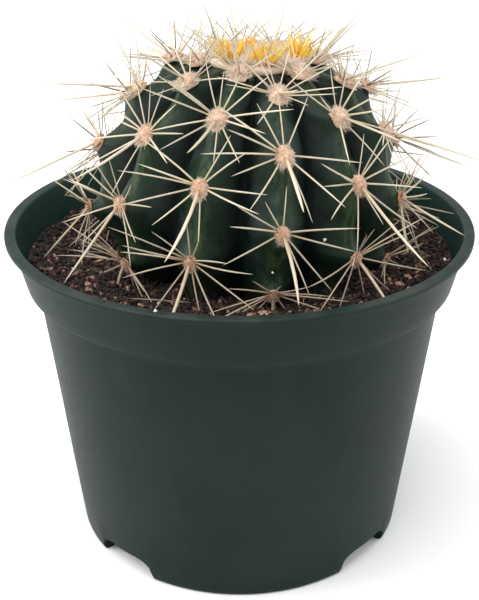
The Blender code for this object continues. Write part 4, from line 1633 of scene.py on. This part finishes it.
@dataclass
class WoollyCrown:
    """The growing tip: a cushion of wool with stars of short golden spines.

    The last four fields have one value for each kind of star: the outer ones at the front, the
    middle ones, the innermost ones, and the outer ones at the back.
    """

    stem: RibbedStem
    seed: int = 41
    cushion: float = 14.5 * MM
    cover: float = 1.3 * MM
    swells: Layers = ((4.5 * MM, 0.8 * MM, 8),)
    edge_drop: float = 3.0 * MM
    brim_drop: float = 1.4 * MM
    hairs: int = 4200
    hair_width: float = 0.14 * MM
    hair_stations: tuple[float, ...] = (0.0, 0.5, 0.85)
    stations: tuple[float, ...] = (0.0, 0.2, 0.45, 0.65, 0.8, 0.92, 0.98)
    root_spread: float = 1.6 * MM / 0.62
    spines_each: tuple[int, ...] = (26, 12, 7, 12)
    spread: tuple[float, ...] = (0.70, 0.32, 0.22, 0.45)
    length: tuple[float, ...] = (8.4 * MM, 4.6 * MM, 3.6 * MM, 4.2 * MM)
    paleness: tuple[float, ...] = (0.0, 0.25, 0.0, 0.9)

    def top_at(self, x: np.ndarray, y: np.ndarray) -> np.ndarray:
        """Height of the cushion in the plant's frame: an even cover over the dished top."""
        reach = np.hypot(x, y)
        ball = np.sqrt(1 - np.minimum(reach / self.stem.radius, 1) ** 2)
        dish = self.stem.dish * np.exp(-((reach / self.stem.dish_radius) ** 2))
        flat = np.stack([x, y, 0 * x], axis=-1)
        return self.stem.rise * ball - dish + self.cover + layered(flat, self.swells)

    def mound(self) -> Skins:
        """Shape the cushion: rings of the mound, turned under at the edge."""
        share = np.array([1.0, 1.06, 0.96, 0.84, 0.7, 0.55, 0.4, 0.24, 0.1])
        turn = np.arange(48) / 48 * math.tau
        radius = self.cushion * share[:, None] * (1 + 0.06 * np.cos(6 * turn)[None])
        points = around(turn[None], radius, 0.0)
        points[..., 2] = self.top_at(points[..., 0], points[..., 1])
        points[0, :, 2] -= self.edge_drop
        points[1, :, 2] -= self.brim_drop
        low = np.array([[0, 0, self.stem.rise - 9 * MM]])
        high = np.array([[0, 0, float(self.top_at(np.zeros(1), np.zeros(1))[0])]])
        axis = self.stem.axis
        along = np.broadcast_to(0.1, (1, len(share), 48))
        return Skins(axis.placed(points)[None], axis.placed(low), axis.placed(high),
                     {"along": along, "tone": np.array([0.45])}, 1)

    def wool(self) -> Skins:
        """Stand hairs on the cushion, leaning outwards towards its edge."""
        rng = np.random.default_rng(self.seed)
        reach = np.sqrt(rng.uniform(0, 1, self.hairs)) * self.cushion * 1.04
        angle = rng.uniform(0, math.tau, self.hairs)
        root = around(angle, reach, 0.0)
        root[:, 2] = self.top_at(root[:, 0], root[:, 1])
        lean = around(angle, 0.9 * reach / self.cushion, 1.0) + rng.normal(0, 0.4, root.shape)
        lean = unit(lean)
        long = rng.uniform(1.4, 2.9, self.hairs) * MM
        tip = root + lean * long[:, None]
        stations = np.array(self.hair_stations)
        axis = self.stem.axis
        root, tip, lean = axis.placed(root), axis.placed(tip), axis.turned(lean)
        flat = np.broadcast_to([1.0, 0.0, 0.0], root.shape)
        bow = rng.normal(0, 0.12, root.shape) * long[:, None]
        rings = grow_needles(root - lean * (0.5 * MM), tip, flat,
                             np.full(self.hairs, self.hair_width), bow, stations, 3, 0.6, 1.0)
        return Skins(rings, root - lean * (0.6 * MM), tip,
                     {"along": np.broadcast_to(stations[None, :, None], rings.shape[:3]),
                      "tone": rng.uniform(0.3, 1.0, self.hairs)})

    def young_spines(self) -> Skins:
        """Stand a star of short golden spines on each of the youngest areoles.

        A spine leans from the straight-up direction by its star's spread times a random
        point of a disc, and by a little more away from the axis.
        """
        rng = np.random.default_rng(self.seed + 1)
        stars = [(rib, row, row - 7 + 3 * (row == 7 and 4 <= rib <= 8))
                 for rib in range(self.stem.ribs)
                 for row in ((7, 9) if rib % 2 == 0 else (8,))]
        kinds = np.array(stars)
        rib, row, kind = np.repeat(kinds, np.array(self.spines_each)[kinds[:, 2]], axis=0).T
        climb = self.stem.climb_of_row(row)
        azimuth = self.stem.azimuth(rib, climb)
        radius, _ = self.stem.crest(climb)
        count = len(rib)
        angle = rng.uniform(0, math.tau, count)
        open_by = np.sqrt(rng.uniform(0, 1, count)) * np.array(self.spread)[kind]
        level = around(angle, open_by, 0.0)
        root = around(azimuth, radius, 0.0) + level * self.root_spread
        root[:, 2] = self.top_at(root[:, 0], root[:, 1]) - 0.6 * MM
        lean = unit(around(azimuth, 0.14 + 0.8 * radius / self.stem.radius, 1.0) + level)
        long = np.array(self.length)[kind] * rng.normal(1, 0.13, count)
        age = np.array(self.paleness)[kind]
        axis = self.stem.axis
        root, lean = axis.placed(root), axis.turned(lean)
        tip = root + lean * long[:, None]
        flat = unit(rng.normal(0, 1, (count, 3)))
        stations = np.array(self.stations)
        bow = rng.normal(0, 0.02, (count, 3)) * long[:, None]
        rings = grow_needles(root, tip, flat, rng.uniform(0.60, 0.95, count) * MM, bow,
                             stations, 6, 0.5, 0.45)
        return Skins(rings, root - lean * (0.2 * MM), tip,
                     {"along": np.broadcast_to(stations[None, :, None], rings.shape[:3]),
                      "tone": rng.uniform(0, 1, count), "age": age}, count)

    def build(self, spine: SpineHorn, wool: WoolFelt) -> None:
        """Build the cushion with its hair, and the golden spines.

        Args:
            spine: Finish of the young spines.
            wool: Finish of the cushion.
        """
        cushion = make_piece("crown_wool", [self.mound(), self.wool()])
        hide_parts("crown")
        dress(cushion, wool.build())
        spines = make_piece("crown_spines", [self.young_spines()])
        dress(spines, spine.build())


# ---- soil ----


@dataclass
class SoilBed:
    """The potting mix: a bed that fills the pot round the stem, and loose bits on top."""

    stem: RibbedStem
    pot: NurseryPot
    top: float = 98 * MM
    edge_rise: float = 1.0 * MM
    dip: float = 0.9 * MM
    swells: Layers = ((13 * MM, 0.9 * MM, 21), (4.2 * MM, 0.55 * MM, 22), (1.6 * MM, 0.3 * MM, 23))
    grit: Layers = ((2.2 * MM, 1.0, 31), (0.9 * MM, 0.6, 32))
    grit_depth: float = 0.35 * MM
    tints: Layers = ((2.4 * MM, 0.30, 33), (0.9 * MM, 0.18, 34))
    mean_tint: float = 0.22
    columns: int = 384
    bowl_rows: int = 22
    top_rows: int = 84
    side_rows: int = 26
    chip_count: int = 2200
    crumb_count: int = 6500
    grain_count: int = 20
    fibre_count: int = 130
    seed: int = 77

    def height_at(self, x: np.ndarray, y: np.ndarray) -> np.ndarray:
        """Height of the bed: level, a little higher at the wall, with soft lumps.

        Args:
            x: Places across.
            y: Places from front to back.

        Returns:
            Heights in the pot's frame.
        """
        reach = np.hypot(x, y)
        rise = self.edge_rise * smoothstep(reach, 56 * MM, 71 * MM)
        dip = self.dip * (1 - smoothstep(reach, 42 * MM, 54 * MM))
        return self.top + rise - dip + layered(np.stack([x, y, 0 * x], axis=-1), self.swells)

    def contact(self, turn: np.ndarray) -> tuple[np.ndarray, np.ndarray]:
        """Find where the bed meets the stem.

        Args:
            turn: Angles from the first rib's crest.

        Returns:
            The climb of the contact, and its points in the pot's frame.
        """
        guess = self.stem.skin(np.full(turn.shape, math.radians(-32)), turn, GAP)[0]
        guess = self.stem.axis.placed(guess)
        ground = self.height_at(guess[..., 0], guess[..., 1])
        axis = self.stem.axis
        away = guess - np.array(axis.middle)
        tilt = away[..., 0] * math.sin(axis.lean) - away[..., 1] * math.sin(axis.nod)
        climb = np.arcsin((ground - axis.middle[2] + tilt) / self.stem.drop)
        points = self.stem.axis.placed(self.stem.skin(climb, turn, GAP)[0])
        return climb, points

    def wall_point(self, azimuth: np.ndarray) -> np.ndarray:
        """Where the bed meets the pot's wall at an azimuth."""
        radius = self.pot.inner_radius(np.array(self.top)) - 0.2 * MM
        return around(azimuth, radius, self.top)

    def bed(self) -> Skins:
        """Shape the bed: a bowl under the stem, the top, the side along the wall, the floor."""
        turn = np.arange(self.columns) * math.tau / self.columns
        climb, rim = self.contact(turn)
        share = (np.arange(self.bowl_rows) + 0.5)[:, None] / self.bowl_rows
        down = -math.pi / 2 + share * (climb + math.pi / 2)[None]
        bowl, _ = self.stem.skin(down, np.broadcast_to(turn, down.shape), GAP)
        bowl = self.stem.axis.placed(bowl)
        azimuth = self.stem.first_rib + turn
        wall = self.wall_point(azimuth)
        out = np.linspace(0, 1, self.top_rows)[:, None, None]
        top = rim[None] + out * (wall - rim)[None]
        level = self.height_at(top[..., 0], top[..., 1])
        join = smoothstep(out[..., 0], 0, 0.05)
        top[..., 2] = top[..., 2] * (1 - join) + level * join
        floor = self.pot.foot_height + self.pot.wall + GAP
        lower = np.linspace(self.top - 2 * MM, floor + 0.8 * MM, self.side_rows)
        side = around(azimuth[None], (self.pot.inner_radius(lower) - 0.25 * MM)[:, None],
                      lower[:, None])
        pits = self.grit_depth * (1 + layered(side, self.grit)) / 2
        side[..., :2] -= unit(side[..., :2]) * pits[..., None]
        last = float(self.pot.inner_radius(np.array(floor)))
        floor_radii = np.array([last - 1.2 * MM, 40 * MM, 26 * MM, 13 * MM, 4 * MM])
        base = around(azimuth[None], floor_radii[:, None], floor)
        rings = np.concatenate([bowl, top, side, base])
        low = self.stem.axis.placed(np.array([[0, 0, -self.stem.drop - GAP]]))
        tint = self.mean_tint + layered(rings, self.tints)
        return Skins(rings[None], low, np.array([[0, 0, floor]]),
                     {"tint": np.clip(tint, 0, 1)[None]}, 1)

    def strewn(self, rng: np.random.Generator, count: int, margin: float) -> np.ndarray:
        """Pick places on the bed, evenly by area.

        Args:
            rng: Source of the random draws.
            count: How many.
            margin: Clearance from the stem and the wall.

        Returns:
            Points on the bed's surface.
        """
        turn = rng.uniform(0, math.tau, count)
        _, rim = self.contact(turn)
        wall = self.wall_point(self.stem.first_rib + turn)
        gap = np.linalg.norm(wall[:, :2] - rim[:, :2], axis=1)
        near = np.linalg.norm(rim[:, :2], axis=1)
        lucky = rng.uniform(0, 1, count)
        width = gap - 2 * margin
        inner = near + margin
        reach = np.sqrt(inner ** 2 + lucky * ((inner + width) ** 2 - inner ** 2)) - near
        share = (reach / gap)[:, None]
        spots = rim + share * (wall - rim)
        spots[:, 2] = self.height_at(spots[:, 0], spots[:, 1])
        return spots

    def lumps(self, rng: np.random.Generator, spots: np.ndarray, size: np.ndarray,
              sides: int, rough: float, tilt: float) -> np.ndarray:
        """Shape angular bits: short prisms with uneven corners, turned at random.

        Each bit is three rings of corners, at the bottom, near the middle and at the top. The
        outer two are about seven tenths as wide, and each corner is moved at random.

        Args:
            rng: Source of the random draws.
            spots: Where the bits lie.
            size: Length, width and thickness of each.
            sides: Corners on each ring.
            rough: How far corners move, as a share of the size.
            tilt: How far a bit may lean, in radians.

        Returns:
            Rings as bit, ring, side, xyz.
        """
        count = len(spots)
        turn = np.arange(sides) / sides * math.tau
        radii = np.array([0.72, 1.0, 0.70])[:, None]
        shape = np.stack([radii * np.cos(turn), radii * np.sin(turn),
                          np.array([-1.0, 0.05, 1.0])[:, None] + 0 * turn], axis=-1)
        shape = shape[None] * (1 + rng.normal(0, rough, (count, 3, sides, 3)))
        shape = shape * size[:, None, None] / 2
        spin, lean, heading = rng.uniform(-1, 1, (3, count)) * np.array(
            [[math.pi], [tilt], [math.pi]])
        axes = turned_frames(spin, lean, heading)
        return spots[:, None, None] + np.einsum("nrsi,nij->nrsj", shape, axes)

    def loose(self, name: str, rings: np.ndarray, size: np.ndarray, tint: np.ndarray,
              finish: bpy.types.Material) -> None:
        """Close a set of bits and add them as one piece.

        Args:
            name: The piece's name.
            rings: Their rings.
            size: Their sizes.
            tint: Their tints.
            finish: Their material.
        """
        bulge = 0.12 * size[:, 2:3]
        low, high = rings[:, 0].mean(axis=1), rings[:, -1].mean(axis=1)
        away = unit(high - low)
        bits = Skins(rings, low - away * bulge, high + away * bulge, {"tint": tint})
        piece = make_piece(name, [bits], smooth=False)
        dress(piece, finish)

    def build(self, mix: SoilMix, perlite: PerliteWhite) -> None:
        """Build the bed and everything that lies on it.

        Args:
            mix: Finish of the soil.
            perlite: Finish of the white grains.
        """
        earth, white = mix.build(), perlite.build()
        bed = make_piece("soil_bed", [self.bed()])
        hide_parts("potting_soil")
        dress(bed, earth)
        rng = np.random.default_rng(self.seed)
        self.add_chips(rng, earth)
        self.add_crumbs(rng, earth)
        self.add_grains(rng, white)
        self.add_fibres(rng, earth)

    def add_chips(self, rng: np.random.Generator, earth: bpy.types.Material) -> None:
        """Strew flat bark chips, a few of them large."""
        count = self.chip_count
        spots = self.strewn(rng, count, 3.2 * MM)
        big = rng.gamma(3.0, 0.35, count)
        length = np.clip(1.5 + 1.35 * big, 1.5, 6.0) * MM
        size = np.stack([length, length * rng.uniform(0.26, 0.56, count),
                         length * rng.uniform(0.16, 0.36, count)], axis=1)
        spots[:, 2] += 0.18 * size[:, 1]
        rings = self.lumps(rng, spots, size, 6, 0.16, 0.8)
        tint = np.clip(rng.beta(0.75, 1.15, count) + 0.03, 0, 1)
        self.loose("bark_chips", rings, size, tint, earth)

    def add_crumbs(self, rng: np.random.Generator, earth: bpy.types.Material) -> None:
        """Strew small peat crumbs thickly over the bed."""
        count = self.crumb_count
        spots = self.strewn(rng, count, 1.0 * MM)
        length = rng.uniform(0.7, 1.8, count) * MM
        size = np.stack([length, length * rng.uniform(0.5, 0.95, count),
                         length * rng.uniform(0.5, 0.8, count)], axis=1)
        spots[:, 2] += rng.uniform(0.0, 0.55, count) * length
        rings = self.lumps(rng, spots, size, 5, 0.14, 1.2)
        tint = rng.beta(0.7, 1.7, count)
        self.loose("peat_crumbs", rings, size, tint, earth)

    def add_grains(self, rng: np.random.Generator, white: bpy.types.Material) -> None:
        """Strew perlite, with two stray grains on the stem and one on the lip."""
        count = self.grain_count
        spots = self.strewn(rng, count, 1.6 * MM)
        length = rng.uniform(0.6, 1.4, count) * MM
        spots[:, 2] += 0.4 * length
        stem_spot, _ = self.stem.skin(np.radians([1.5, -9.0]), np.radians([20.7, -1.0]), 0.5 * MM)
        lip_spot = around(np.array([math.radians(-17.6)]), 74.6 * MM, self.pot.height + 0.35 * MM)
        spots = np.concatenate([spots, self.stem.axis.placed(stem_spot), lip_spot])
        length = np.append(length, [1.25 * MM, 0.7 * MM, 0.9 * MM])
        size = np.stack([length, length * 0.85, length * 0.8], axis=1)
        rings = self.lumps(rng, spots, size, 7, 0.10, 3.0)
        self.loose("perlite_grains", rings, size, np.ones(len(size)), white)

    def add_fibres(self, rng: np.random.Generator, earth: bpy.types.Material) -> None:
        """Lay thin wood fibres across the bed."""
        count = self.fibre_count
        spots = self.strewn(rng, count, 5 * MM)
        heading = rng.uniform(0, math.tau, count)
        length = rng.uniform(3, 9, count) * MM
        run = np.stack([np.cos(heading), np.sin(heading), rng.normal(0, 0.12, count)], axis=1)
        start = spots - run * length[:, None] / 2
        tip = spots + run * length[:, None] / 2
        for end in (start, tip):
            end[:, 2] = self.height_at(end[:, 0], end[:, 1]) + rng.uniform(0.2, 1.2, count) * MM
        flat = np.broadcast_to([0.0, 0.0, 1.0], start.shape)
        stations = np.array([0.0, 0.3, 0.6, 0.9])
        bow = rng.normal(0, 0.06, (count, 3)) * length[:, None]
        rings = grow_needles(start, tip, flat, rng.uniform(0.25, 0.6, count) * MM, bow,
                             stations, 4, 0.3, 0.6)
        fibres = Skins(rings, start, tip, {"tint": rng.uniform(0.35, 1.0, count)})
        piece = make_piece("wood_fibres", [fibres], smooth=False)
        dress(piece, earth)


def turned_frames(spin: np.ndarray, lean: np.ndarray, heading: np.ndarray) -> np.ndarray:
    """Turn the three axes of many bits: about Z by spin, about X by lean, about Z by heading.

    Args:
        spin: First angles.
        lean: Second angles.
        heading: Third angles.

    Returns:
        Frames as bit, axis, xyz.
    """
    zero, one = np.zeros_like(spin), np.ones_like(spin)

    def about_z(angle: np.ndarray) -> np.ndarray:
        """Rotations about Z as rows."""
        cos, sin = np.cos(angle), np.sin(angle)
        return np.stack([cos, sin, zero, -sin, cos, zero, zero, zero, one], axis=-1).reshape(
            -1, 3, 3)

    cos, sin = np.cos(lean), np.sin(lean)
    about_x = np.stack([one, zero, zero, zero, cos, sin, zero, -sin, cos], axis=-1).reshape(
        -1, 3, 3)
    return about_z(spin) @ about_x @ about_z(heading)


# ---- studio ----


@dataclass(frozen=True)
class Softbox:
    """One square soft light: where it stands, what it looks at, its side and its power."""

    name: str
    place: tuple[float, float, float]
    aim: tuple[float, float, float]
    side: float
    power: float

    def build(self) -> None:
        """Add the light to the scene."""
        light = bpy.data.lights.new(self.name, "AREA")
        light.shape = "SQUARE"
        light.size = self.side
        light.energy = self.power
        lamp = bpy.data.objects.new(self.name, light)
        lamp.location = self.place
        toward = np.array(self.aim) - np.array(self.place)
        level = math.hypot(toward[0], toward[1])
        lamp.rotation_euler = Euler((math.pi / 2 + math.atan2(toward[2], level), 0.0,
                                     math.atan2(-toward[0], toward[1])))
        bpy.context.scene.collection.objects.link(lamp)


@dataclass
class Studio:
    """A plain pale floor, soft light all round and the camera at the front."""

    floor_radius: float = 9.0
    sky: Colour = (0.93, 0.94, 0.95)
    sky_strength: float = 1.0
    camera_place: tuple[float, float, float] = (0.0, -0.324, 0.235)
    camera_pitch: float = 25.64
    lens: float = 63.0
    softboxes: tuple[Softbox, ...] = (
        Softbox("overhead_softbox", (-0.5, -0.7, 2.6), (0.0, 0.0, 0.1), 2.2, 50.0),
        Softbox("left_softbox", (-1.9, -0.1, 1.0), (0.0, 0.0, 0.1), 1.3, 26.0),
        Softbox("right_softbox", (1.9, 0.1, 0.9), (0.0, 0.0, 0.1), 1.2, 10.0),
    )

    def build(self) -> None:
        """Set up the floor, the light and the camera."""
        turn = np.arange(96) / 96 * math.tau
        disc = np.stack([self.floor_radius * np.cos(turn), self.floor_radius * np.sin(turn),
                         0 * turn], axis=1)
        mesh = mesh_of("studio_floor", disc, np.array([0]), np.arange(96), False)
        floor = bpy.data.objects.new("studio_floor", mesh)
        bpy.context.scene.collection.objects.link(floor)
        mesh.materials.append(StudioWhite().build())
        floor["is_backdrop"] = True
        world = bpy.data.worlds.new("studio_light")
        world.use_nodes = True
        sky = world.node_tree.nodes["Background"]
        sky.inputs["Color"].default_value = (*self.sky, 1.0)
        sky.inputs["Strength"].default_value = self.sky_strength
        bpy.context.scene.world = world
        for softbox in self.softboxes:
            softbox.build()
        camera = bpy.data.objects.new("front_camera", bpy.data.cameras.new("front_camera"))
        camera.data.lens = self.lens
        camera.data.sensor_fit = "AUTO"
        camera.data.sensor_width = 36.0
        camera.data.clip_start = 0.01
        camera.location = self.camera_place
        camera.rotation_euler = Euler((math.radians(90 - self.camera_pitch), 0.0, 0.0))
        bpy.context.scene.collection.objects.link(camera)
        bpy.context.scene.camera = camera
        bpy.context.scene.view_settings.view_transform = "Standard"


def main() -> None:
    """Build every sub-assembly in order and report its pieces."""
    logging.basicConfig(level=logging.INFO, format="%(name)s: %(message)s")
    pot = NurseryPot()
    stem = RibbedStem()
    soil = SoilBed(stem, pot)
    pot.build(PotPlastic())
    stem.build(CactusSkin())
    soil.build(SoilMix(), PerliteWhite())
    AreoleRows(stem, pot, soil).build(
        SpineHorn(),
        WoolFelt("areole_wool_look", (0.500, 0.205, 0.098), (0.735, 0.430, 0.262),
                 (0.850, 0.735, 0.605)))
    WoollyCrown(stem).build(
        SpineHorn("crown_gold_look", (0.860, 0.460, 0.060), (0.930, 0.540, 0.045),
                  (0.950, 0.620, 0.090), (0.930, 0.740, 0.380), (0.880, 0.440, 0.030), 0.5),
        WoolFelt("crown_wool_look", (0.700, 0.460, 0.320), (0.840, 0.690, 0.560),
                 (0.900, 0.830, 0.740)))
    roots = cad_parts["roots"]
    root_material = RootFibre().build()
    for slot in roots.material_slots:
        slot.material = root_material
    Studio().build()
    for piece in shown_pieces():
        log.info("%s: %d faces in place", piece.name, len(piece.data.polygons))


if __name__ == "__main__":
    main()
